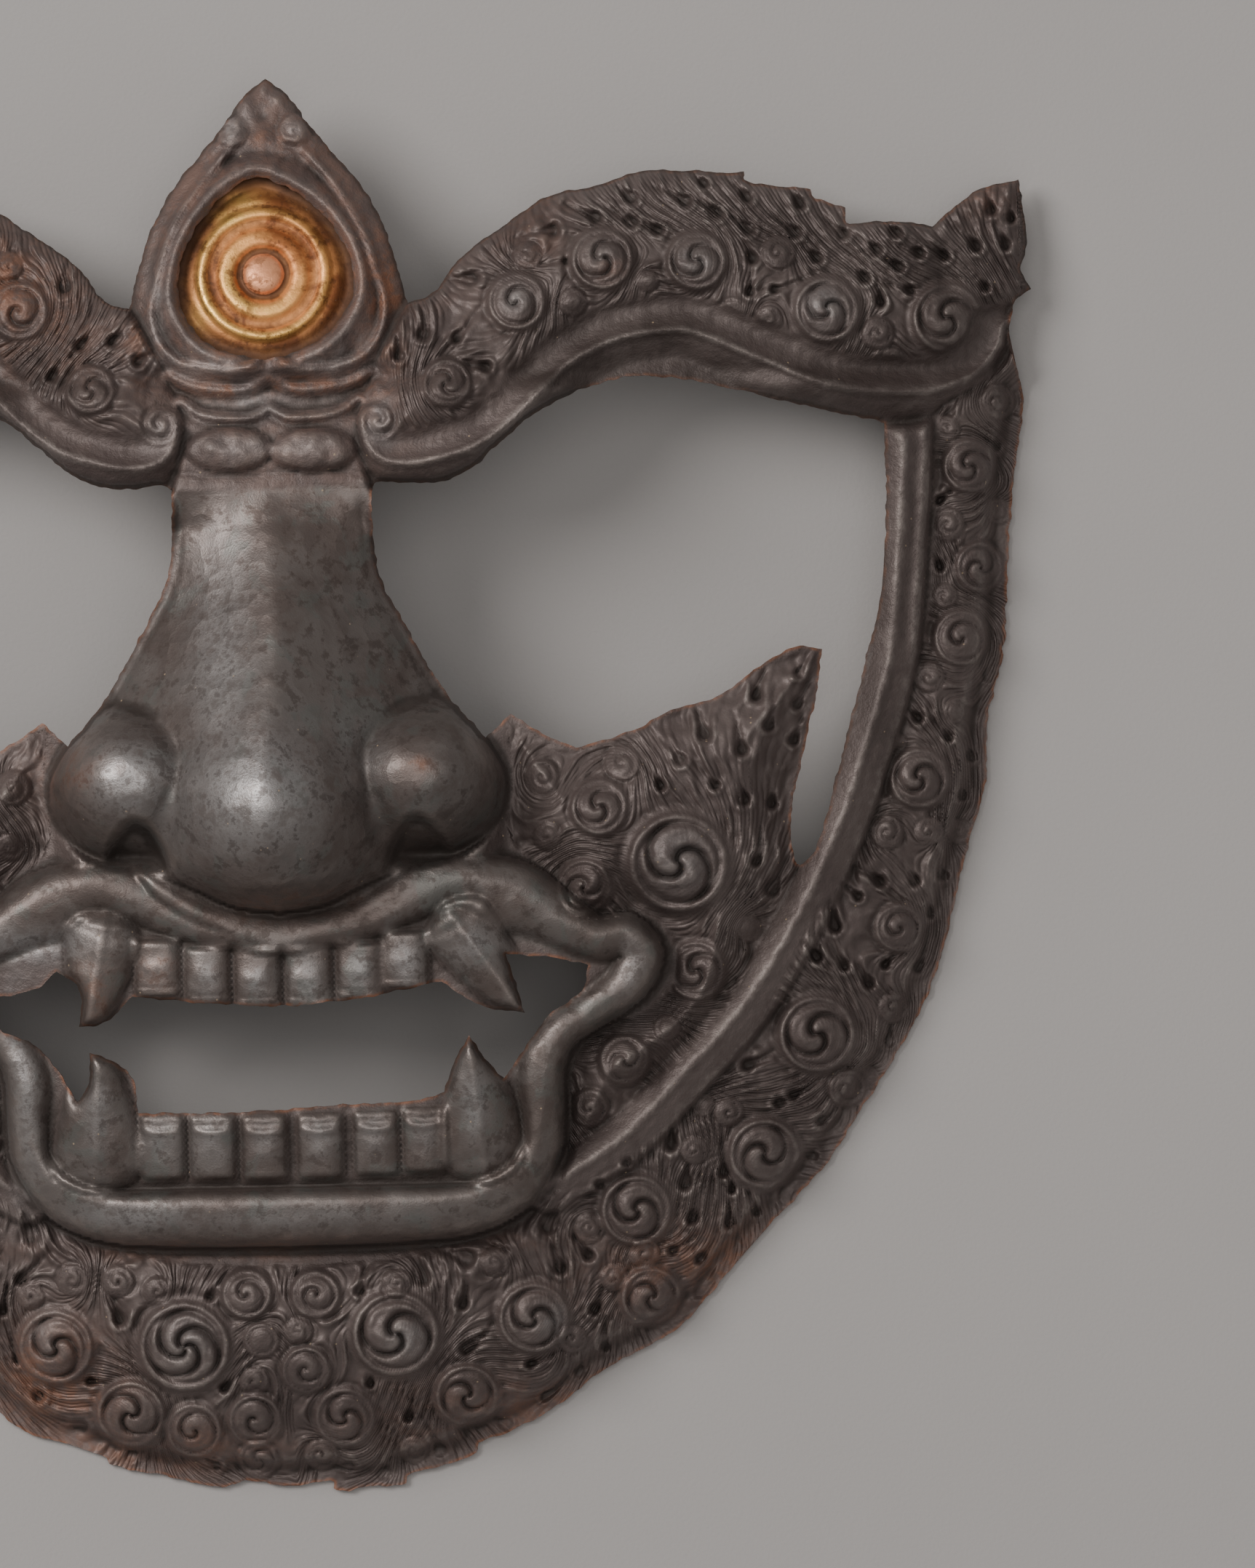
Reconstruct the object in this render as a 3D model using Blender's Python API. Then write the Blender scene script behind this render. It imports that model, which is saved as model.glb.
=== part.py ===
"""Openwork mask of a wrathful guardian in raised copper sheet, with a gilt third eye.

The mask lies on its back: +Z is the way the face looks, +Y is the crown, +X its left cheek.
The drawing is laid out in millimetres for a mask 360 mm high and is scaled to MASK_HEIGHT.
The face is one sheet. Its front is a height over the drawing plane, and its hollow side
follows the front one wall thickness below.
"""

import math

import bpy
import numpy as np
from mathutils import Vector
from mathutils.geometry import delaunay_2d_cdt

# Driving dimensions in metres
MASK_HEIGHT = 0.360
SHEET = 0.0012
EYE_SHEET = 0.0012
EYE_CLEARANCE = 0.0004
EYE_LAP = 0.0022

# Heights of the raised forms, in millimetres of the drawing
DRAWN_HEIGHT = 360.0
DOME_RISE = 50.0
BROW_RISE = 12.0
LEAF_RISE = 8.0
NOSE_TIP = 97.0
NOSE_ROOT = 61.0
LIP_RISE = 12.0
TOOTH_RISE = 3.4
GUM_RISE = 6.5
CHEEK_RISE = 10.0
BAND_RISE = 7.0
HAIR_RISE = 3.0
LOCK_RISE = 0.55
LOCK_WIDTH = 9.0
RIM_LAND = 2.6
RIM_FLARE = 5.0
EYE_CENTRE = (-1.0, 129.6)

# How finely the sheet is drawn before it is thinned out
EDGE_STEP = 3.8
FACE_STEP = 2.0
FACE_TRIANGLES = 4280

UNIT = MASK_HEIGHT / DRAWN_HEIGHT

# Outlines of the right half, from the drawing. A doubled point is a corner.
LEAF_SIDE = [
    (0, 180), (5.5, 175.5), (11.5, 167), (21.5, 155), (28.4, 144), (33, 130), (35, 121.5),
]
BROW_TOP = [
    (35, 121.5), (35, 121.5), (42, 124.5), (48.5, 133), (61.5, 142.5), (71, 148.5), (84, 151),
    (95.5, 154.6), (120.5, 153.8), (120.5, 153.8), (122, 151.2), (137.5, 149.3), (137.5, 149.3),
    (138.5, 147), (146.5, 144.6), (146.5, 144.6), (147.2, 140.2), (158, 140.8), (168.3, 139.2),
    (168.3, 139.2), (174, 144), (181, 149), (190.8, 151.3), (190.8, 151.3), (191.8, 143),
    (192.4, 135), (191, 128), (193.4, 123.3), (193.4, 123.3), (189, 120), (187.4, 112),
]
JAW_SIDE = [
    (189.6, 103.4), (191, 93), (188, 74), (186, 51), (184.8, 32.4), (180.4, 14), (179.4, -2),
    (174, -20), (169, -40), (163, -57), (154, -73), (144.5, -87), (136, -99.5), (121, -114.8),
]
CHIN_RIGHT = [
    (113, -123.5), (100, -138.3), (90, -144.5), (80, -149.3), (70, -156.8), (58, -164), (46.5, -168),
    (46.5, -168), (45, -171), (36, -174), (28, -176), (28, -176), (27, -178.6), (16.5, -178.8),
    (13, -180), (9.3, -179), (9.3, -179), (8.5, -177), (0, -178.3),
]
CHIN_LEFT = [
    (-4, -178.3), (-13, -176.5), (-20, -178), (-33, -175), (-46, -172.3), (-50, -169.5),
    (-60, -165.7), (-70, -162.5), (-84, -150), (-100, -138.3), (-113, -123.5),
]
BROW_UNDER = [
    (25.2, 75.5), (27.6, 76.9), (39.5, 76.2), (50, 79.6), (58, 86.5), (65.5, 92.6), (76, 98.2),
    (92, 102.2), (108, 100.5), (131.8, 94.9), (155, 89.5),
]
BROW_FOOT = [(155, 89.5), (165, 90), (171, 94.5), (178, 98), (184, 102), (188, 108)]
BROW_NECK = [(26, 104.5), (23.5, 98), (22, 92), (22.8, 84), (25.2, 75.5)]
BAND_INNER_EDGE = [
    (155, 89.5), (155, 89.5), (155, 69.3), (153.6, 48.5), (148.8, 28.6), (142, 3.9),
    (136.8, -14.2), (133.6, -20.8),
]
CHEEK_TIP_EDGE = [(130, -20.8), (129.3, -7.9), (132.9, 7.1), (136.4, 22), (137.9, 32.4)]
CHEEK_TOP = [
    (137.9, 32.4), (137.9, 32.4), (130.8, 33.1), (121, 27.8), (111.6, 21.3), (98.9, 17.4),
    (90, 13), (75.3, 8.7), (75.3, 8.7), (68.2, 11.8), (59, 17.6), (59, 17.6), (52.6, 11.6),
]
NOSE_SIDE = [
    (52.6, 11.6), (52.6, 11.6), (42.6, 23.7), (33.9, 38.7), (26.8, 52.9), (25.1, 67), (25.2, 75.5),
]
BAND_CREST = [
    (160.4, 99), (160, 90), (159.3, 74), (157.4, 51.3), (155.5, 32.4), (151.8, 18.2), (147.1, 3.9),
    (142.4, -9.5), (131.3, -33.2), (117.1, -56), (100.5, -74.2), (84.7, -90), (66, -101.5),
]
BAND_OUTER_EDGE = [
    (168.5, 104), (167.3, 90), (165.5, 51), (162, 32), (154.2, 6.3), (144.7, -19), (132.1, -37.9),
    (119.5, -60.8), (103.7, -79.7), (89.5, -91.6), (75, -99.5), (66, -104.5), (55, -111.5),
    (45, -115), (25, -118.8), (0, -120),
]
BROW_CREST = [
    (23.5, 99), (22.6, 91), (25, 84.8), (29, 81.8), (35.5, 81), (43.4, 82.4), (52.7, 85.5),
    (60.7, 91.1), (67.4, 97.7), (74, 104.4), (81.6, 109.1), (89.2, 112), (98.6, 113.4),
    (107.2, 112.9), (124.2, 105.8), (143.2, 98.7), (162.1, 97), (173, 99.2), (180.5, 103.6),
    (185.3, 111), (184.6, 120), (180, 127.5),
]
CHEEK_HAIR = [
    (57.5, 17), (58.8, 0), (57, -10), (60, -17), (68, -24), (72, -33), (80, -35), (92, -34),
    (98.5, -42), (97.5, -52), (88, -58.6), (77, -63.5), (72, -72), (71.5, -86), (71, -94),
    (79.2, -88.4), (97.4, -73.4), (113.2, -56.8), (125.8, -33.2), (131.8, -20.8), (129.3, -7.9),
    (132.9, 7.1), (137.9, 32.4), (121, 27.8), (98.9, 17.4), (75.3, 8.7),
]

LEAF_LOBES_IN = [(0, 103), (0, 103), (5, 100.6), (11, 100), (20, 101.5), (26, 104.5)]
LEAF_LOBES_OUT = [(0, 96), (0, 96), (4, 93.8), (9, 93.4), (17, 94.6), (22.5, 98)]

# A roll that runs out of the left nostril and down along the lip
NOSTRIL_ROLL = [
    (-37, -9.5), (-35.5, -14), (-31, -20.5), (-25, -25.8), (-17, -30.4), (-7, -33.6), (4, -34.6),
]
# Run of the raised border inside the leaf's edge
LEAF_LOOP = [
    (0, 180), (5.5, 175.5), (11.5, 167), (21.5, 155), (28.4, 144), (33, 130), (34.5, 120),
    (32, 110.5), (26, 104), (17, 100.8), (9, 100), (3.5, 101), (0, 103.6), (0, 103.6),
    (-3.5, 101), (-9, 100), (-17, 100.8), (-26, 104), (-32, 110.5), (-34.5, 120), (-33, 130),
    (-28.4, 144), (-21.5, 155), (-11.5, 167), (-5.5, 175.5),
]

# The lid opening of the leaf, from its lower notch round by the right
LID = [
    (-0.8, 107.6), (7.9, 110), (15.8, 114.8), (20.9, 122.6), (21.5, 130), (18.6, 138.4),
    (11, 147.6), (0, 153.8), (-5.5, 153.2), (-12.7, 148), (-19.8, 138.4), (-22.5, 128),
    (-20.8, 119), (-14, 111.4),
]

# The mouth opening, from the left corner over the upper teeth and back along the lower ones
MOUTH = [
    (-77.5, -47.5), (-72, -50.9), (-62, -49), (-56.5, -44.8), (-56.5, -44.8), (-52, -47.4),
    (-50.2, -52), (-51, -58.8), (-51, -58.8), (-45, -58.2), (-40, -53.8), (-37.4, -51.6),
    (-37.4, -51.6), (-20, -53.4), (0, -54.6), (20, -53), (40.3, -49.2), (40.3, -49.2),
    (46, -53.3), (51.5, -56.3), (60.9, -57.6), (60.9, -57.6), (58.6, -49), (56.5, -42.8),
    (56.5, -42.8), (67, -43.8), (77.2, -46), (77.2, -46), (75.4, -52.6), (67.5, -58),
    (61, -66), (55.4, -74.4), (55.4, -74.4), (50.6, -69), (46.9, -63), (46.9, -63),
    (43.2, -69), (40.3, -77.2), (40.3, -77.2), (33, -79.3), (11, -80), (-12, -81.2),
    (-36.9, -81), (-36.9, -81), (-37.8, -73), (-42.5, -68), (-48.6, -65.5), (-48.6, -65.5),
    (-49, -73), (-52, -77.8), (-52, -77.8), (-57.5, -69), (-63, -63), (-71, -59.4),
    (-76, -53.6),
]

# The rolled lips: x, y, reach outwards, reach inwards and height of the roll
LIPS = [
    (0, -38.5, 9, 4.6, 0.92), (20, -35, 10, 5, 0.92), (36, -27.5, 11, 7, 0.92),
    (47, -24, 8, 9, 0.92), (60, -27.5, 8, 13, 0.92), (70, -34, 7, 9, 0.92), (80, -38.6, 5, 8, 1),
    (87, -38, 5, 8, 1), (92, -43.5, 4.6, 10, 1), (88, -51, 5, 8, 1), (78, -57.5, 5, 6, 0.92),
    (70.5, -63.5, 4.2, 7, 0.92), (66.3, -72, 4.6, 9, 1), (64.6, -84, 6, 6, 1),
    (62.6, -93, 7, 4.5, 1), (56, -101, 8, 5, 1.05), (44, -105.6, 8.6, 6, 1.1),
    (22, -107, 8.6, 7.5, 1.1), (0, -107.4, 8.6, 7.8, 1.1),
]

# Centres of the teeth and the axes of the fangs with their root radius
TOOTH_WIDTH = 11.6
UPPER_TEETH = [(-31, -44.5), (-18.5, -46.6), (-6, -47.6), (7, -47.7), (19.7, -46.2), (31.4, -43.6)]
LOWER_TEETH = [(-31, -89.8), (-18.3, -90), (-5.3, -90.3), (8.8, -90.2), (23, -89.8), (35.2, -89.3)]
FANGS = [
    ((45, -35.5), (60.5, -57), 7.6), ((-44.5, -36), (-49, -58.5), 7.8),
    ((49.8, -93), (46.9, -63.5), 8.6), ((-47.5, -94), (-47.2, -66.5), 9.4),
]

# How far the dome's foot lies from the middle of the face, by the angle above the +X axis
DOME_FOOT = [
    (-90, 182), (-70, 177), (-56, 173), (-43, 170), (-31, 171.5), (-17, 176.5), (-6, 182),
    (15, 198), (26, 216), (38, 262), (52, 240), (64, 214), (75, 215), (90, 224),
]

# Curls of the hair: x, y, radius of the rim, arms of the whorl. Both sides carry them.
CURLS = [
    (44.8, 101, 5.4, 2), (62.6, 121.4, 6.6, 2), (84.4, 131.8, 7.3, 2), (108.1, 130.9, 7, 2),
    (140.8, 118, 7.6, 2), (171.6, 115.7, 8.4, 2), (153.6, 112, 3.6, 1),
    (183.6, 95, 4, 1), (176.5, 78.3, 6, 2), (179, 52.7, 5.4, 1), (173.6, 34.7, 6.6, 1),
    (163.5, 23, 3.6, 1), (162.1, -0.8, 7.2, 2), (153.6, -14.2, 4, 1),
    (100.5, -20.5, 12, 2), (80.8, -6.3, 6.6, 1), (77, -26.5, 6.6, 3), (86.6, 4.4, 3.8, 1),
    (104.3, -48.2, 6.4, 2), (85.7, -70.3, 6, 1), (78, -82.6, 4.6, 1),
    (156.2, -38.7, 5.3, 1), (134.9, -65.2, 9.2, 3), (120.5, -95.5, 8.6, 2), (88, -108.8, 8.4, 2),
    (142.4, -79.4, 4.4, 1), (91.3, -131.5, 7, 2),
]
RIGHT_CURLS = [
    (26.5, -138.6, 10, 2), (61.5, -135.6, 8.2, 2), (44, -155.5, 7.2, 1), (13, -160, 7, 2),
    (4, -147.6, 5.6, 1), (6.5, -128, 5.4, 1),
]
LEFT_CURLS = [
    (-27, -140.8, 10.8, 3), (-60, -140.6, 9, 2), (-41.5, -158.5, 8, 2), (-27, -163.6, 6.4, 1),
    (-10, -163, 6.6, 2), (-11, -127.5, 5.4, 1),
]


def smooth(t):
    """A soft step from 0 to 1."""
    t = np.clip(t, 0.0, 1.0)
    return t * t * (3.0 - 2.0 * t)


def bell(t):
    return np.exp(-t * t)


def roll(t):
    """A quarter round: 0 at the edge and 1 from t = 1 on."""
    t = np.clip(t, 0.0, 1.0)
    return np.sqrt(1.0 - (1.0 - t) ** 2)


def soft_max(a, b, width):
    share = np.clip(0.5 + 0.5 * (a - b) / width, 0.0, 1.0)
    return b + (a - b) * share + width * share * (1.0 - share)


def curve(points, step):
    """A smooth line through the points with sides of about one step, split at doubled points."""
    spans = [[points[0]]]
    for point in points[1:]:
        if point == spans[-1][-1]:
            spans.append([point])
        else:
            spans[-1].append(point)
    line = []
    for span in spans:
        if len(span) < 2:
            continue
        for i in range(len(span) - 1):
            p1 = np.array(span[i], float)
            p2 = np.array(span[i + 1], float)
            p0 = np.array(span[i - 1], float) if i else 2 * p1 - p2
            p3 = np.array(span[i + 2], float) if i + 2 < len(span) else 2 * p2 - p1
            count = max(1, round(float(np.hypot(*(p2 - p1)[:2])) / step))
            for t in np.arange(count) / count:
                bend = (2 * p0 - 5 * p1 + 4 * p2 - p3) * t * t + (3 * p1 - p0 - 3 * p2 + p3) * t**3
                line.append(p1 + 0.5 * ((p2 - p0) * t + bend))
    line.append(np.array(spans[-1][-1], float))
    return np.array(line)


def eased(value, pairs):
    """A smooth graph through the pairs, read at each value."""
    graph = curve(pairs, (pairs[-1][0] - pairs[0][0]) / 60.0)
    return np.interp(value, graph[:, 0], graph[:, 1])


def mirrored(line):
    return [(-x, y) for x, y in line[::-1]]


def to_line(x, y, line):
    """Distance to an open line, the side it lies on (+ to its left) and the place along it."""
    best = np.full(x.shape, 1e9)
    side = np.ones(x.shape)
    place = np.zeros(x.shape)
    for i in range(len(line) - 1):
        ax, ay = line[i][:2]
        bx, by = line[i + 1][:2]
        dx, dy = bx - ax, by - ay
        length = max(dx * dx + dy * dy, 1e-9)
        t = np.clip(((x - ax) * dx + (y - ay) * dy) / length, 0.0, 1.0)
        gap = np.hypot(x - ax - t * dx, y - ay - t * dy)
        near = gap < best
        best = np.where(near, gap, best)
        turn = dx * (y - ay) - dy * (x - ax)
        side = np.where(near, np.sign(turn), side)
        place = np.where(near, i + t, place)
    return best, side, place


def depth_in(x, y, loop):
    """Distance to a closed loop, positive inside it."""
    best = np.full(x.shape, 1e9)
    odd = np.zeros(x.shape, bool)
    for (ax, ay), (bx, by) in zip(loop, np.roll(loop, -1, axis=0), strict=True):
        dx, dy = bx - ax, by - ay
        length = max(dx * dx + dy * dy, 1e-9)
        t = np.clip(((x - ax) * dx + (y - ay) * dy) / length, 0.0, 1.0)
        best = np.minimum(best, np.hypot(x - ax - t * dx, y - ay - t * dy))
        crosses = (ay > y) != (by > y)
        slope = dx / dy if dy else 0.0
        odd ^= crosses & (x < ax + (y - ay) * slope)
    return np.where(odd, best, -best)


def mask_outline(step):
    """The outer edge of the sheet, once round against the clock from the tip of the leaf."""
    right = curve(LEAF_SIDE, step)[:-1].tolist() + curve(BROW_TOP, step).tolist()
    jaw = curve(JAW_SIDE, step).tolist()
    chin = curve(CHIN_RIGHT, step)[:-1].tolist() + curve(CHIN_LEFT, step).tolist()
    left = mirrored(jaw) + mirrored(right)[:-1]
    return np.array((right + jaw + chin + left)[::-1])


def eye_gap(step):
    """The gap between brow, moulding, cheek and nose on the right."""
    parts = [BROW_UNDER, BAND_INNER_EDGE, CHEEK_TIP_EDGE, CHEEK_TOP, NOSE_SIDE]
    points = [parts[0][0]]
    for part in parts:
        points += part if part[0] != points[-1] else part[1:]
    return curve(points, step)[:-1]


def openings(step):
    right = eye_gap(step)
    left = right[::-1] * np.array([-1.0, 1.0])
    lid = curve([*LID, LID[0]], step)[:-1]
    mouth = curve([*MOUTH, MOUTH[0]], step)[:-1]
    return [right, left, lid, mouth]


def dome(x, y):
    """The plain bowl of the face without any feature."""
    angles, reaches = np.array(DOME_FOOT, float).T
    fine = np.arange(-90.0, 91.0)
    reach = np.interp(fine, angles, reaches)
    kernel = bell(np.arange(-15, 16) / 8.0)
    padded = np.concatenate([reach[15:0:-1], reach, reach[-2:-17:-1]])
    reach = np.convolve(padded, kernel / kernel.sum(), "valid")
    angle = np.degrees(np.arctan2(y, np.abs(x) + 1e-9))
    share = np.hypot(x, y) / np.interp(angle, fine, reach)
    return DOME_RISE * (1.0 - share**2.6)


def nose_height(x, y):
    """Height of the nose over the drawing plane: ridged back, ball of the tip and two wings."""
    drop = NOSE_TIP - NOSE_ROOT
    ridge = NOSE_ROOT + drop * eased(
        y, [(-40, 0.1), (-31, 0.4), (-24, 0.68), (-14, 0.92), (-4, 1.0), (3, 0.96), (12, 0.83),
            (30, 0.5), (50, 0.17), (66, -0.07), (76, -0.15), (84, -0.19)]
    )
    side = eased(y, [(-40, 50), (0, 51), (30, 50), (50, 49), (66, 49.5), (84, 51)])
    middle = eased(y, [(-20, -2.0), (10, -1.5), (40, 0.8), (84, 1.2)])
    width = eased(y, [(-40, 36), (-20, 40), (-6, 40), (6, 39), (16, 43), (30, 38), (50, 28),
                      (66, 25.4), (84, 25)])
    across = np.clip(np.sqrt((x - middle) ** 2 + 4.0) / width, 0.0, 1.2)
    back = side + (ridge - side) * (1.0 - across**1.25)
    tip = NOSE_TIP - 1 - 26.0 * (((x + 1.5) / 27.0) ** 2 + ((y + 4.0) / 27.0) ** 2)
    wing_x = np.abs(x) - 36.0
    wing_x = wing_x / np.where(wing_x < 0, 22.0, 20.0)
    wing_y = (y - 3.0) / np.where(y > 3.0, 17.5, 19.0)
    wing = NOSE_TIP - 16.5 - 22.0 * (wing_x**2 + wing_y**2) ** 1.2
    height = soft_max(back, tip, 4.0)
    return soft_max(height, wing, 3.2 + 5.5 * smooth((2.0 - y) / 10.0))


def nose_outline(step):
    """Plan of the nose with the two nostril notches."""
    half = [
        (25.2, 77), (25.1, 67), (26.8, 52.9), (33.9, 38.7), (42.6, 23.7), (52.6, 11.6),
        (57.6, 2), (56.5, -8), (51, -15), (44.5, -17), (44.5, -17), (41.5, -11), (35.5, -6.2),
        (30.5, -10), (27.6, -16.5), (27.6, -16.5), (22, -23), (12, -28.8), (0, -31.2),
    ]
    right = curve(half, step).tolist()
    return np.array(right + mirrored(right)[1:-1])


def curl_list():
    """Every curl as x, y, radius, arms and turning sense."""
    found = []
    for number, (x, y, radius, arms) in enumerate(CURLS):
        turn = 1 if number % 3 else -1
        found.append((x, y, radius, arms, turn))
        found.append((-x, y, radius, arms, -turn))
    for number, (x, y, radius, arms) in enumerate(RIGHT_CURLS + LEFT_CURLS):
        found.append((x, y, radius, arms, 1 if number % 2 else -1))
    return found


def hair_flow(x, y):
    """A number that stays the same along a strand and grows across the strands."""
    half = np.abs(x)
    brow = smooth((y - 70.0) / 20.0) * smooth((194.0 - half) / 4.0)
    cheek = np.where(depth_in(half, y, curve([*CHEEK_HAIR, CHEEK_HAIR[0]], 6.0)[:-1]) > 0, 1.0, 0.0)
    beard = smooth((-y - 70.0) / 50.0)
    fan = 55.0 * np.arctan2(half - 56.0, y + 62.0)
    flow = half * (1.0 - 0.1 * beard) - 0.35 * y * beard + 0.22 * y * brow
    flow = flow + 3.0 * np.sin(y / 11.0 + half / 23.0)
    flow = flow * (1 - cheek) + fan * cheek
    for cx, cy, radius, _, turn in curl_list():
        away = np.hypot(x - cx, y - cy)
        flow = flow + turn * 2.1 * radius * bell(away / (1.9 * radius))
    return flow


def curls(x, y):
    """Raised whorls with a rim, arms that wind in to a small boss, and a moat round them."""
    height = np.zeros(x.shape)
    core = np.zeros(x.shape)
    for cx, cy, radius, arms, turn in curl_list():
        away = np.hypot(x - cx, y - cy)
        near = away < 1.8 * radius
        d = away[near] / radius
        angle = np.arctan2(y[near] - cy, x[near] - cx)
        cushion = 0.34 * np.clip(1.0 - (d / 1.1) ** 2, 0.0, 1.0) ** 0.7
        wave = 0.5 + 0.5 * np.cos(arms * (turn * angle + 5.0 * d / math.sqrt(arms)))
        arm = 0.2 * wave * smooth((1.05 - d) / 0.3) * smooth(d / 0.25)
        boss = 0.14 * np.clip(1.0 - (d / 0.34) ** 2, 0.0, 1.0)
        moat = -0.12 * bell((d - 1.22) / 0.18)
        height[near] += radius * (cushion + arm + boss + moat)
        core[near] = np.maximum(core[near], smooth((1.3 - d) / 0.3))
    return height, core


def hair_area(x, y, to_band):
    """1 where the sheet carries hair and flames, 0 on the smooth features, soft between."""
    half = np.abs(x)
    brow = depth_in(half, y, brow_outline(3.0))
    above = above_crest(half, y)
    on_brow = smooth((above - 6.0) / 3.0) * smooth(brow / 2.0 + 0.5)
    on_cheek = smooth(depth_in(half, y, curve([*CHEEK_HAIR, CHEEK_HAIR[0]], 3.0)[:-1]) / 3.0)
    on_band = smooth((to_band - 0.8) / 2.5) * (1.0 - smooth(brow / 2.0 + 0.5))
    return np.clip(on_brow + on_cheek + on_band, 0.0, 1.0)


def above_crest(half, y):
    """Distance to the crest of the brow, negative on its lower wall. The crest dies out at the tip."""
    gap, side, _ = to_line(half, y, curve(BROW_CREST, 3.0))
    above = np.where(side > 0, gap, -gap)
    fade = smooth((y - 113.0) / 10.0) * smooth((half - 168.0) / 8.0)
    return above + (12.0 - above) * fade


def brow_outline(step):
    leaf_gap = [(35, 121.5), (30, 112), (26, 104.5)]
    upper = curve(BROW_TOP[1:], step).tolist()[::-1]
    neck = curve(leaf_gap + BROW_NECK[1:], step).tolist()[:-1]
    under = curve(BROW_UNDER + BROW_FOOT[1:], step).tolist()
    return np.array(neck + under + upper[:-1])


def surface(x, y):
    """Height of the front of the sheet over the drawing plane."""
    half = np.abs(x)
    bowl = dome(x, y)
    z = bowl.copy()
    brow = depth_in(half, y, brow_outline(3.0))
    on_brow = smooth(brow / 2.4 + 0.5)

    # Flame band and beard outside the mouldings
    gap, side, _ = to_line(half, y, curve(BAND_OUTER_EDGE, 3.0))
    to_band = np.where(side > 0, gap, -gap)
    edge = np.abs(depth_in(x, y, mask_outline(4.0)))
    on_rim = smooth((110.0 - y) / 20.0) * (1.0 - smooth((edge - RIM_LAND) / RIM_FLARE))
    swelling = smooth(to_band / 7.0) * (0.2 + 0.8 * smooth(edge / 12.0))
    z = z + HAIR_RISE * swelling * (1.0 - on_brow)
    z = z + 6.0 * bell(x / 60.0) * bell((y + 143.0) / 20.0) * smooth(to_band / 2.0)

    # Cheek cushions
    cheek = depth_in(half, y, curve([*CHEEK_HAIR, CHEEK_HAIR[0]], 3.0)[:-1])
    z = z + CHEEK_RISE * smooth(cheek / 16.0) * (cheek > 0)

    # Ridged mouldings down the side of the face and along the jaw
    gap, side, _ = to_line(half, y, curve(BAND_CREST, 3.0))
    out = np.where(side > 0, gap / 8.2, gap / 5.4)
    face = (1.0 - 0.42 * out) * (1.0 - smooth((out - 0.7) / 0.3))
    wall = 1.0 - np.clip(out, 0.0, 1.0) ** 1.15
    z = z + BAND_RISE * (1.0 - on_brow) * np.where(side > 0, face, wall) * (out < 1.0)

    # Flat plate between the eyes that carries bridge and leaf
    bridge = smooth((30.0 - half) / 6.0)
    plate = smooth((y - 66.0) / 8.0) * np.maximum(bridge, smooth((y - 98.0) / 6.0))
    z = z + (LEAF_RISE - 1.0) * plate
    for centre, low in ((-10.3, 85.5), (10.9, 84.9)):
        bulge = 1.0 - ((x - centre) / 11.0) ** 2 - ((y - low) / 5.6) ** 2
        z = z + 4.6 * np.sqrt(np.clip(bulge, 0.0, 1.0))

    # Leaf of the third eye: a ridge round the lid, a step behind it and a raised border
    lid = -depth_in(x, y, curve([*LID, LID[0]], 2.5)[:-1])
    leaf = plate * smooth((y - 92.0) / 5.0)
    flange = depth_in(x, y, curve([*LEAF_LOOP, LEAF_LOOP[0]], 3.0)[:-1])
    low_down = smooth((165.0 - y) / 6.0)
    ridge = 3.0 * bell((lid - 2.4) / 1.9) + 1.4 * (1.0 - smooth((lid - 5.0) / 2.0))
    ridge = ridge + low_down * (1.5 * bell((flange - 4.9) / 1.2) - 0.9 * bell((flange - 7.4) / 1.2))
    ridge = ridge + 1.6 * (1.0 - low_down) + 0.5 * low_down * smooth((flange - 4.2) / 0.8)
    leaf_edge = smooth(flange / 4.0 + 0.25)
    z = z + leaf * (-1.6 + ridge + 2.4 * leaf_edge - 1.2 * smooth((lid - 8.6) / 6.0))
    for border, height in ((LEAF_LOBES_IN, 1.5), (LEAF_LOBES_OUT, 2.3)):
        gap, _, _ = to_line(half, y, curve(border, 2.0))
        z = z + height * bell(gap / 1.5) * bridge
    for cx in (-8.7, 7.2):
        knob = 1.0 - ((x - cx) ** 2 + (y - 166.3) ** 2) / 17.0
        z = z + 2.0 * np.sqrt(np.clip(knob, 0.0, 1.0))

    # Brows
    above = above_crest(half, y)
    lift = BROW_RISE * (1.0 - 0.35 * smooth((half - 110.0) / 75.0))
    wall = -0.8 * BROW_RISE * (np.clip(-above, 0.0, 9.0) / 8.0) ** 0.9
    channel = -2.6 * np.sin(math.pi * np.clip(above / 9.5, 0.0, 1.0))
    cushion = 3.2 * smooth((above - 7.0) / 7.0) - 6.0 * smooth((above - 20.0) / 26.0)
    body = lift + wall + channel + cushion - 3.0 * (1.0 - roll(brow / 4.0))
    body = body + 3.0 * bell(np.hypot(half - 27.4, y - 92.0) / 4.5)
    z = z + (body - LEAF_RISE * plate) * on_brow

    # Shoulder between nose and upper lip
    shoulder = smooth((58.0 - half) / 9.0) * smooth((2.0 - y) / 8.0) * smooth((y + 52.0) / 10.0)
    z = soft_max(z, bowl + 8.4 * shoulder, 1.2)

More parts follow.
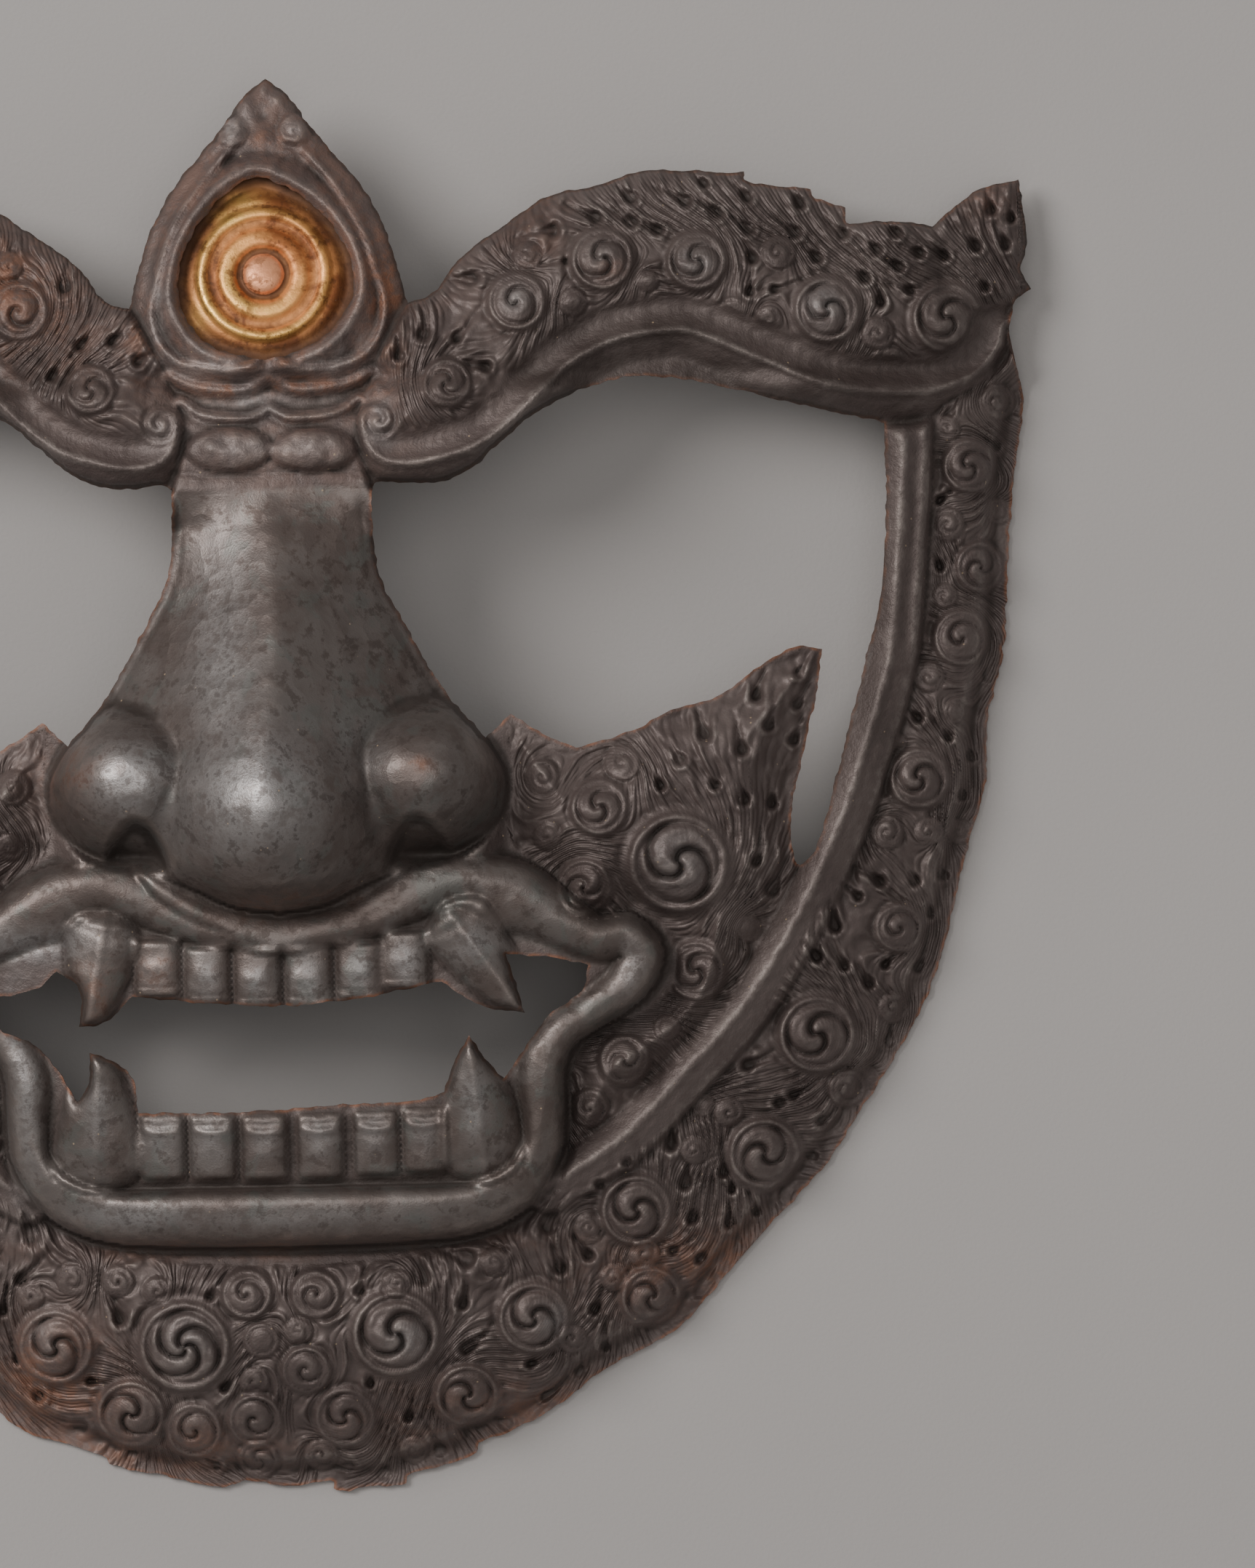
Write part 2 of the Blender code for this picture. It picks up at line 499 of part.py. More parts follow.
    # Lips
    lips = curve(LIPS, 3.0)
    gap, side, place = to_line(half, y, lips)
    outer = np.interp(place, np.arange(len(lips)), lips[:, 2])
    inner = np.interp(place, np.arange(len(lips)), lips[:, 3])
    rise = np.interp(place, np.arange(len(lips)), lips[:, 4])
    reach = np.where(side > 0, outer, inner)
    bluff = 2.0 + 0.9 * smooth((-94.0 - y) / 8.0)
    lip = np.sqrt(np.clip(1.0 - np.clip(gap / reach, 0.0, 1.0) ** bluff, 0.0, 1.0))
    z = np.where(side < 0, bowl + GUM_RISE, z)
    z = np.maximum(z, bowl + LIP_RISE * rise * lip * (gap < reach))
    z = z - 2.6 * bell((gap - reach - 1.6) / 1.7) * (side > 0) * (y < -60.0)

    # Teeth are rounded plates that meet in a furrow
    for row, tall in ((UPPER_TEETH, 8.6), (LOWER_TEETH, 9.8)):
        for x0, y0 in row:
            u, v = (x - x0) / (0.5 * TOOTH_WIDTH + 0.3), (y - y0) / tall
            across = np.sqrt(np.clip(1 - np.abs(u) ** 2.3, 0.0, 1.0))
            z = z + TOOTH_RISE * across * smooth((1.0 - np.abs(v)) / 0.3)

    # Fangs, full to the cut edge of the sheet
    cut = -depth_in(x, y, curve([*MOUTH, MOUTH[0]], 2.0)[:-1])
    for (ax, ay), (bx, by), root in FANGS:
        dx, dy = bx - ax, by - ay
        reach = math.hypot(dx, dy)
        t = ((x - ax) * dx + (y - ay) * dy) / (reach * reach)
        off = (dx * (y - ay) - dy * (x - ax)) / reach
        girth = 1.25 * root * np.clip(1.12 - 0.9 * np.clip(t, 0, 1), 0.0, 1.0) ** 0.5
        round_off = np.abs(off / girth) ** 1.7 + np.clip(-t, 0.0, 1.0) ** 2 * 14
        fang = np.clip(1.0 - round_off, 0.0, 1.0) ** 0.62
        z = z + 1.8 * TOOTH_RISE * fang * roll((cut + 0.4) / 3.4) * (t < 1.1)

    # A roll runs out of the nostril and down along the lip
    gap, _, place = to_line(x, y, curve(NOSTRIL_ROLL, 2.0))
    girth = np.interp(place, [0, 3, 8, 30], [2.2, 3.4, 4.2, 3.4])
    taper = 1.0 - smooth((place - 9.0) / 13.0)
    z = z + 3.4 * taper * np.sqrt(np.clip(1.0 - (gap / girth) ** 2, 0.0, 1.0))

    # Nose
    nose = depth_in(x, y, nose_outline(2.5))
    width = np.interp(y, [-32, -10, 8, 30], [9.0, 6.0, 5.0, 3.0])
    rooted = roll(nose / width) * smooth((79.0 - y) / 15.0)
    z = np.where(nose > 0, z + (nose_height(x, y) - z) * rooted, z)

    # Hair
    hair = hair_area(x, y, to_band)
    whorl, core = curls(x, y)
    turn = 2.0 * math.pi * hair_flow(x, y) / LOCK_WIDTH
    locks = LOCK_RISE * np.cos(turn)
    z = z + hair * (whorl + locks * (1.0 - core))

    # The rim of jaw and temples is beaten down onto the plane that the mask lies on
    return z * (1.0 - on_rim)


def inside_sheet(points, outline, holes, margin):
    keep = depth_in(points[:, 0], points[:, 1], outline) > margin
    for hole in holes:
        keep &= depth_in(points[:, 0], points[:, 1], hole) < -margin
    return keep


def sheet_points(step, margin, outline, holes):
    """A triangular net of points that fills the sheet between its edges."""
    rows = np.arange(outline[:, 1].min(), outline[:, 1].max(), step * math.sqrt(0.75))
    net = []
    for number, row in enumerate(rows):
        columns = np.arange(-200.0, 200.0, step) + (number % 2) * step / 2
        net.append(np.stack([columns, np.full(columns.shape, row)], axis=1))
    net = np.concatenate(net)
    return net[inside_sheet(net, outline, holes, margin)]


def triangulate(outline, holes, inner):
    """Triangles of the area between the loops, with the loops as their edges."""
    points = [Vector(p) for p in np.concatenate([outline, *holes, inner])]
    edges = []
    start = 0
    for loop in [outline, *holes]:
        count = len(loop)
        edges += [(start + i, start + (i + 1) % count) for i in range(count)]
        start += count
    verts, _, faces, *_ = delaunay_2d_cdt(points, edges, [], 0, 1e-6)
    flat = np.array([tuple(v) for v in verts])
    faces = np.array(faces)
    middle = flat[faces].mean(axis=1)
    return flat, faces[inside_sheet(middle, outline, holes, 0.0)]


def thinned(points, faces, wanted):
    """The same surface with fewer triangles, kept where it curves most."""
    mesh = bpy.data.meshes.new("front")
    mesh.from_pydata(points.tolist(), [], faces.tolist())
    front = bpy.data.objects.new("front", mesh)
    bpy.context.scene.collection.objects.link(front)
    thin = front.modifiers.new("Thin out", "DECIMATE")
    thin.ratio = wanted / len(faces)
    graph = bpy.context.evaluated_depsgraph_get()
    result = front.evaluated_get(graph).to_mesh()
    result.calc_loop_triangles()
    points = np.array([tuple(v.co) for v in result.vertices])
    faces = np.array([tuple(t.vertices) for t in result.loop_triangles])
    bpy.data.objects.remove(front)
    return points, faces


def facet_slopes(points, faces):
    """For each corner, the steepest rise over run of the facets that meet there."""
    a, b, c = points[faces[:, 0]], points[faces[:, 1]], points[faces[:, 2]]
    normal = np.cross(b - a, c - a)
    upright = np.abs(normal[:, 2]) / np.maximum(np.linalg.norm(normal, axis=1), 1e-12)
    least = np.ones(len(points))
    for corner in range(3):
        np.minimum.at(least, faces[:, corner], upright)
    return least


def shell(points, faces, wall):
    """Closes a height surface with a hollow side one wall below it and a rim round every edge."""
    drop = wall / np.maximum(facet_slopes(points, faces), 0.35)
    back = points.copy()
    back[:, 2] = np.maximum(points[:, 2] - drop, 0.0)
    count = len(points)
    edges = np.concatenate([faces[:, [0, 1]], faces[:, [1, 2]], faces[:, [2, 0]]])
    keys = edges[:, 0].astype(np.int64) * count + edges[:, 1]
    turned = edges[:, 1].astype(np.int64) * count + edges[:, 0]
    rim = edges[~np.isin(keys, turned)]
    walls = [(a, a + count, b) for a, b in rim] + [(b, a + count, b + count) for a, b in rim]
    everything = np.concatenate([faces, faces[:, ::-1] + count, np.array(walls)])
    return np.concatenate([points, back]), everything


def add_object(name, points, faces, material):
    outline = mask_outline(EDGE_STEP)[:, 1]
    middle = np.array([0.0, 0.5 * (outline.min() + outline.max()), 0.0])
    mesh = bpy.data.meshes.new(name)
    mesh.from_pydata(((points - middle) * UNIT).tolist(), [], faces.tolist())
    mesh.validate()
    mesh.shade_smooth()
    mesh.set_sharp_from_angle(angle=math.radians(50))
    mesh.materials.append(material)
    piece = bpy.data.objects.new(name, mesh)
    bpy.context.scene.collection.objects.link(piece)
    return piece


def metal(name, colour, roughness):
    material = bpy.data.materials.new(name)
    material.use_nodes = True
    shader = material.node_tree.nodes["Principled BSDF"]
    shader.inputs["Base Color"].default_value = (*colour, 1.0)
    shader.inputs["Metallic"].default_value = 1.0
    shader.inputs["Roughness"].default_value = roughness
    return material


def make_sheet():
    outline = mask_outline(EDGE_STEP)
    holes = openings(EDGE_STEP)
    inner = sheet_points(FACE_STEP, 0.55 * FACE_STEP, outline, holes)
    flat, faces = triangulate(outline, holes, inner)
    lowest = SHEET / UNIT
    height = np.maximum(surface(flat[:, 0], flat[:, 1]), lowest)
    points = np.column_stack([flat, height])
    points, faces = thinned(points, faces, FACE_TRIANGLES)
    points[:, 2] = np.maximum(points[:, 2], lowest)
    return shell(points, faces, SHEET / UNIT)


def eye_profile(x, y):
    """Rings of the eye over the leaf's own slope, by the distance from its boss."""
    x0, y0 = EYE_CENTRE
    d = np.hypot(x - x0, y - y0)
    boss = 2.6 * np.sqrt(np.clip(1.0 - (d / 5.3) ** 2, 0.0, 1.0))
    ring = 1.4 * np.exp(-(((d - 9.3) / 2.3) ** 4))
    outer = 1.2 * np.exp(-(((d - 15.7) / 1.5) ** 4))
    return boss + ring + outer - 1.6 * smooth((d - 18.5) / 4.0)


def make_eye():
    """The eye disc: the lid's outline grown by its lap, dished, one clearance behind the leaf."""
    lap = EYE_LAP / UNIT
    lid = curve([*LID, LID[0]], 4.0)[:-1]
    forward = np.roll(lid, -1, axis=0) - np.roll(lid, 1, axis=0)
    forward /= np.linalg.norm(forward, axis=1)[:, None]
    rim = lid + np.column_stack([forward[:, 1], -forward[:, 0]]) * lap
    x0, y0 = EYE_CENTRE
    rings = [np.array([[x0, y0]])]
    for share, count in ((0.12, 8), (0.22, 12), (0.38, 18), (0.5, 20), (0.62, 24), (0.72, 26)):
        turn = 2 * math.pi * np.arange(count) / count
        rings.append(np.column_stack([x0 + 24.5 * share * np.cos(turn),
                                      y0 + 24.5 * share * np.sin(turn)]))
    inner = np.concatenate(rings)
    inner = inner[depth_in(inner[:, 0], inner[:, 1], rim) > 1.2]
    flat, faces = triangulate(rim, [], inner)
    sunk = (SHEET + EYE_CLEARANCE) / UNIT + 0.9
    lid_edge = dome(flat[:, 0], flat[:, 1]) + LEAF_RISE + 1.8
    near_lid = depth_in(flat[:, 0], flat[:, 1], lid)
    swell = 1.6 * smooth(near_lid / 6.0)
    height = lid_edge - sunk - 0.5 + (eye_profile(flat[:, 0], flat[:, 1]) + swell) * smooth(
        near_lid / 3.0
    )
    return shell(np.column_stack([flat, height]), faces, EYE_SHEET / UNIT)


def main():
    for old in list(bpy.data.objects):
        bpy.data.objects.remove(old, do_unlink=True)
    copper = metal("dark copper", (0.075, 0.06, 0.055), 0.45)
    gilt = metal("gilt copper", (0.62, 0.34, 0.12), 0.35)
    add_object("mask_body", *make_sheet(), copper)
    add_object("gilt_third_eye", *make_eye(), gilt)


main()
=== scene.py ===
"""Looks of an openwork mask of a wrathful guardian: fine relief, patina, gilding, light and camera.

The drawing is in millimetres over the plane that the mask lies on, with +Y at the crown and +X
at the mask's left cheek. The relief is one height over that plane. Crown, face, side bands and
beard are four pieces cut from one net of points, so that they meet without a step.
"""

import math

import bpy
import numpy as np
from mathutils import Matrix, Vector
from mathutils.geometry import delaunay_2d_cdt


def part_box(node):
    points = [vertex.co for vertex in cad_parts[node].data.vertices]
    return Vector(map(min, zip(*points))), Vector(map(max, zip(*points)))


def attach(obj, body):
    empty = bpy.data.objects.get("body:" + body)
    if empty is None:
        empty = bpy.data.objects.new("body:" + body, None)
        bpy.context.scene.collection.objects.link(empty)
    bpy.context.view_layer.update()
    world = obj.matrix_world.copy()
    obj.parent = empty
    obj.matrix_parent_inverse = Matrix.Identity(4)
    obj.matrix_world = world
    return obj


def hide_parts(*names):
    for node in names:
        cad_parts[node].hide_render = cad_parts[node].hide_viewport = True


# Sheet and net, in millimetres of the drawing
SHEET = 1.2
EYE_SHEET = 1.2
EYE_CLEARANCE = 0.4
EYE_LAP = 2.2
HAIR_STEP = 0.6
CARVED_STEP = 0.9
PLAIN_STEP = 1.4
EDGE_STEP = 0.7
BACK_COARSER = 1.8
EDGE_REACH = 4.0

# Heights of the raised forms
DOME_RISE = 50.0
BROW_RISE = 12.0
LEAF_RISE = 8.0
NOSE_TIP = 97.0
NOSE_ROOT = 61.0
LIP_RISE = 12.0
TOOTH_RISE = 3.4
GUM_RISE = 6.5
CHEEK_RISE = 10.0
BAND_RISE = 7.0
HAIR_RISE = 3.0
LOCK_RISE = 0.75
LOCK_WIDTH = 4.8
STRAND_RISE = 0.2
STRAND_WIDTH = 2.3
RIM_LAND = 2.6
RIM_FLARE = 5.0
EYE_CENTRE = (-1.0, 129.6)

# Outlines of the right half, from the drawing. A doubled point is a corner.
LEAF_SIDE = [
    (0, 180), (5.5, 175.5), (11.5, 167), (21.5, 155), (28.4, 144), (33, 130), (35, 121.5),
]
BROW_TOP = [
    (35, 121.5), (35, 121.5), (42, 124.5), (48.5, 133), (61.5, 142.5), (71, 148.5), (84, 151),
    (95.5, 154.6), (120.5, 153.8), (120.5, 153.8), (122, 151.2), (137.5, 149.3), (137.5, 149.3),
    (138.5, 147), (146.5, 144.6), (146.5, 144.6), (147.2, 140.2), (158, 140.8), (168.3, 139.2),
    (168.3, 139.2), (174, 144), (181, 149), (190.8, 151.3), (190.8, 151.3), (191.8, 143),
    (192.4, 135), (191, 128), (193.4, 123.3), (193.4, 123.3), (189, 120), (187.4, 112),
]
JAW_SIDE = [
    (189.6, 103.4), (191, 93), (188, 74), (186, 51), (184.8, 32.4), (180.4, 14), (179.4, -2),
    (174, -20), (169, -40), (163, -57), (154, -73), (144.5, -87), (136, -99.5), (121, -114.8),
]
CHIN_RIGHT = [
    (113, -123.5), (100, -138.3), (90, -144.5), (80, -149.3), (70, -156.8), (58, -164), (46.5, -168),
    (46.5, -168), (45, -171), (36, -174), (28, -176), (28, -176), (27, -178.6), (16.5, -178.8),
    (13, -180), (9.3, -179), (9.3, -179), (8.5, -177), (0, -178.3),
]
CHIN_LEFT = [
    (-4, -178.3), (-13, -176.5), (-20, -178), (-33, -175), (-46, -172.3), (-50, -169.5),
    (-60, -165.7), (-70, -162.5), (-84, -150), (-100, -138.3), (-113, -123.5),
]
BROW_UNDER = [
    (25.2, 75.5), (27.6, 76.9), (39.5, 76.2), (50, 79.6), (58, 86.5), (65.5, 92.6), (76, 98.2),
    (92, 102.2), (108, 100.5), (131.8, 94.9), (155, 89.5),
]
BROW_FOOT = [(155, 89.5), (165, 90), (171, 94.5), (178, 98), (184, 102), (188, 108)]
BROW_NECK = [(26, 104.5), (23.5, 98), (22, 92), (22.8, 84), (25.2, 75.5)]
BAND_INNER_EDGE = [
    (155, 89.5), (155, 89.5), (155, 69.3), (153.6, 48.5), (148.8, 28.6), (142, 3.9),
    (136.8, -14.2), (133.6, -20.8),
]
CHEEK_TIP_EDGE = [(130, -20.8), (129.3, -7.9), (132.9, 7.1), (136.4, 22), (137.9, 32.4)]
CHEEK_TOP = [
    (137.9, 32.4), (137.9, 32.4), (130.8, 33.1), (121, 27.8), (111.6, 21.3), (98.9, 17.4),
    (90, 13), (75.3, 8.7), (75.3, 8.7), (68.2, 11.8), (59, 17.6), (59, 17.6), (52.6, 11.6),
]
NOSE_SIDE = [
    (52.6, 11.6), (52.6, 11.6), (42.6, 23.7), (33.9, 38.7), (26.8, 52.9), (25.1, 67), (25.2, 75.5),
]
BAND_CREST = [
    (160.4, 99), (160, 90), (159.3, 74), (157.4, 51.3), (155.5, 32.4), (151.8, 18.2), (147.1, 3.9),
    (142.4, -9.5), (131.3, -33.2), (117.1, -56), (100.5, -74.2), (84.7, -90), (66, -101.5),
]
BAND_OUTER_EDGE = [
    (168.5, 104), (167.3, 90), (165.5, 51), (162, 32), (154.2, 6.3), (144.7, -19), (132.1, -37.9),
    (119.5, -60.8), (103.7, -79.7), (89.5, -91.6), (75, -99.5), (66, -104.5), (55, -111.5),
    (45, -115), (25, -118.8), (0, -120),
]
BROW_CREST = [
    (23.5, 99), (22.6, 91), (25, 84.8), (29, 81.8), (35.5, 81), (43.4, 82.4), (52.7, 85.5),
    (60.7, 91.1), (67.4, 97.7), (74, 104.4), (81.6, 109.1), (89.2, 112), (98.6, 113.4),
    (107.2, 112.9), (124.2, 105.8), (143.2, 98.7), (162.1, 97), (173, 99.2), (180.5, 103.6),
    (185.3, 111), (184.6, 120), (180, 127.5),
]
CHEEK_HAIR = [
    (57.5, 17), (58.8, 0), (57, -10), (60, -17), (68, -24), (72, -33), (80, -35), (92, -34),
    (98.5, -42), (97.5, -52), (88, -58.6), (77, -63.5), (72, -72), (71.5, -86), (71, -94),
    (79.2, -88.4), (97.4, -73.4), (113.2, -56.8), (125.8, -33.2), (131.8, -20.8), (129.3, -7.9),
    (132.9, 7.1), (137.9, 32.4), (121, 27.8), (98.9, 17.4), (75.3, 8.7),
]

NOSTRIL = [
    (45, -22), (45, -22), (42.5, -13.5), (39, -8.8), (35.5, -6.6), (31.5, -8.4), (28.5, -13.5),
    (26.5, -19), (25, -25), (25, -25), (35, -27),
]
NOSTRIL_ROLL = [
    (-37, -9.5), (-35.5, -14), (-31, -20.5), (-25, -25.8), (-17, -30.4), (-7, -33.6), (4, -34.6),
]
LEAF_FOOT = [
    (34.5, 120), (32, 110.5), (26, 104), (17, 100.8), (9, 100), (3.5, 101), (0, 103.6),
]
LEAF_LOBES_IN = [(0, 103), (0, 103), (5, 100.6), (11, 100), (20, 101.5), (26, 104.5)]
LEAF_LOBES_OUT = [(0, 96), (0, 96), (4, 93.8), (9, 93.4), (17, 94.6), (22.5, 98)]

# The lid opening of the leaf, from its lower notch round by the right
LID = [
    (-0.8, 107.6), (7.9, 110), (15.8, 114.8), (20.9, 122.6), (21.5, 130), (18.6, 138.4),
    (11, 147.6), (0, 153.8), (-5.5, 153.2), (-12.7, 148), (-19.8, 138.4), (-22.5, 128),
    (-20.8, 119), (-14, 111.4),
]

# The mouth opening, from the left corner over the upper teeth and back along the lower ones
MOUTH = [
    (-77.5, -47.5), (-72, -50.9), (-62, -49), (-56.5, -44.8), (-56.5, -44.8), (-52, -47.4),
    (-50.2, -52), (-51, -58.8), (-51, -58.8), (-45, -58.2), (-40, -53.8), (-37.4, -51.6),
    (-37.4, -51.6), (-20, -53.4), (0, -54.6), (20, -53), (40.3, -49.2), (40.3, -49.2),
    (46, -53.3), (51.5, -56.3), (60.9, -57.6), (60.9, -57.6), (58.6, -49), (56.5, -42.8),
    (56.5, -42.8), (67, -43.8), (77.2, -46), (77.2, -46), (75.4, -52.6), (67.5, -58),
    (61, -66), (55.4, -74.4), (55.4, -74.4), (50.6, -69), (46.9, -63), (46.9, -63),
    (43.2, -69), (40.3, -77.2), (40.3, -77.2), (33, -79.3), (11, -80), (-12, -81.2),
    (-36.9, -81), (-36.9, -81), (-37.8, -73), (-42.5, -68), (-48.6, -65.5), (-48.6, -65.5),
    (-49, -73), (-52, -77.8), (-52, -77.8), (-57.5, -69), (-63, -63), (-71, -59.4),
    (-76, -53.6),
]

# The rolled lips: x, y, reach outwards, reach inwards and height of the roll
LIPS = [
    (0, -38.5, 9, 4.6, 0.92), (20, -35, 10, 5, 0.92), (36, -27.5, 11, 7, 0.92),
    (47, -24, 8, 9, 0.92), (60, -27.5, 8, 13, 0.92), (70, -34, 7, 9, 0.92), (80, -38.6, 5, 8, 1),
    (87, -38, 5, 8, 1), (92, -43.5, 4.6, 10, 1), (88, -51, 5, 8, 1), (78, -57.5, 5, 6, 0.92),
    (70.5, -63.5, 4.2, 7, 0.92), (66.3, -72, 4.6, 9, 1), (64.6, -84, 6, 6, 1),
    (62.6, -93, 7, 4.5, 1), (56, -101, 8, 5, 1.05), (44, -105.6, 8.6, 6, 1.1),
    (22, -107, 8.6, 7.5, 1.1), (0, -107.4, 8.6, 7.8, 1.1),
]

# Centres of the teeth and the axes of the fangs with their root radius
TOOTH_WIDTH = 11.6
UPPER_TEETH = [(-31, -44.5), (-18.5, -46.6), (-6, -47.6), (7, -47.7), (19.7, -46.2), (31.4, -43.6)]
LOWER_TEETH = [(-31, -89.8), (-18.3, -90), (-5.3, -90.3), (8.8, -90.2), (23, -89.8), (35.2, -89.3)]
FANGS = [
    ((45, -35.5), (60.5, -57), 7.6), ((-44.5, -36), (-49, -58.5), 7.8),
    ((49.8, -93), (46.9, -63.5), 8.6), ((-47.5, -94), (-47.2, -66.5), 9.4),
]
# How far the dome's foot lies from the middle of the face, by the angle above the +X axis
DOME_FOOT = [
    (-90, 182), (-70, 177), (-56, 173), (-43, 170), (-31, 171.5), (-17, 176.5), (-6, 182),
    (15, 198), (26, 216), (38, 262), (52, 240), (64, 214), (75, 215), (90, 224),
]

# Curls that both sides carry: x, y, radius of the rim, arms of the whorl, turning sense
CURLS = [
    (44.8, 101, 6.0, 2, 1), (62.6, 121.4, 7.2, 1, -1), (84.4, 131.8, 7.8, 2, -1),
    (108.1, 130.9, 7.4, 2, -1), (140.8, 118, 8.2, 2, -1), (171.6, 115.7, 9.0, 2, -1),
    (153.6, 112, 3.8, 1, 1), (76.8, 121, 3.2, 0, 1), (95.8, 126, 2.4, 0, 1), (126, 115.7, 3.2, 1, 1),
    (157.4, 105.3, 2.7, 0, 1), (129, 132.8, 4.0, 1, -1), (65.5, 133.2, 3.4, 1, 1),
    (117, 117.5, 3.0, 1, -1), (99, 119.5, 2.2, 0, 1), (150.5, 103.6, 2.2, 0, 1),
    (184.4, 94.9, 4.2, 1, 1), (176.5, 78.3, 6.6, 2, -1), (179, 52.7, 6.2, 2, 1),
    (173.6, 34.7, 7.0, 1, -1), (170.6, 63.6, 4.0, 1, 1), (184.2, 67, 3.0, 0, 1),
    (165, 25, 3.6, 1, 1), (162.1, -0.8, 7.6, 2, -1), (156.6, 8.5, 2.2, 0, 1),
    (153.6, -14.2, 4.0, 1, 1), (164.5, -14.2, 3.2, 1, -1), (172.4, -14.6, 3.0, 1, 1),
    (171, 88, 3.0, 1, 1), (169.5, 45.5, 3.0, 1, 1), (171.5, 16, 2.6, 0, 1),
    (100.5, -20.8, 12.6, 2, -1), (80.8, -6.3, 7.0, 2, -1), (76.6, -26.3, 6.8, 2, 1),
    (86.8, 4.6, 4.2, 1, -1), (104.3, -48.2, 7.4, 2, -1), (85.8, -70.3, 6.2, 2, 1),
    (76.6, -82.4, 4.6, 1, -1), (96.6, -62.4, 3.0, 0, 1), (117.9, -37.9, 3.0, 0, 1),
    (66.5, 1.5, 4.0, 1, 1), (67.5, -13.5, 3.2, 1, -1), (84.5, -44.5, 3.2, 1, 1), (93, -80, 3.0, 1, 1),
    (156.2, -38.7, 6.0, 1, -1), (134.9, -65.2, 9.8, 2, -1), (120.8, -95.4, 9.0, 2, 1),
    (88, -108.8, 9.0, 2, -1), (142.4, -79.4, 4.6, 1, 1), (154.6, -59.2, 3.6, 1, -1),
    (148, -77, 2.6, 0, 1), (105.5, -82.4, 2.6, 0, 1), (91.3, -131.3, 7.6, 2, 1),
    (82, -126, 3.2, 1, -1), (89.8, -120, 3.6, 1, 1), (112, -84.5, 3.4, 1, 1), (103, -94, 3.2, 1, -1),
]

# Curls of the beard, which differ on its two sides
RIGHT_CURLS = [
    (26.5, -138.6, 11.0, 2, -1), (61.5, -135.6, 9.0, 2, -1), (44, -155.3, 8.0, 2, 1),
    (13, -160, 7.6, 2, -1), (3.6, -147.4, 6.0, 1, 1), (2, -137.2, 3.2, 1, -1),
    (6.5, -128, 6.0, 1, 1), (27, -125.6, 3.4, 1, -1), (71, -141.4, 3.4, 1, 1), (6.5, -170, 4.0, 1, 1),
    (76, -113, 3.6, 1, 1), (30, -169.4, 3.4, 1, 1), (52, -121, 3.4, 1, -1),
]
LEFT_CURLS = [
    (-27, -140.8, 11.6, 3, -1), (-60, -140.6, 9.6, 2, -1), (-41.5, -158.4, 8.8, 2, 1),
    (-25.6, -162.8, 7.0, 1, -1), (-9.8, -160.4, 6.8, 1, 1), (-9.6, -171, 5.0, 2, -1),
    (-10.8, -127.5, 6.2, 1, -1), (-33.5, -126.6, 3.4, 1, 1), (-43.5, -123.8, 3.8, 1, -1),
    (-55, -123.4, 3.8, 1, 1), (-66, -127.4, 3.2, 1, -1), (-7.4, -139.4, 4.2, 0, 1),
    (-76, -113, 3.6, 1, -1), (-9.6, -150, 3.4, 1, 1),
]

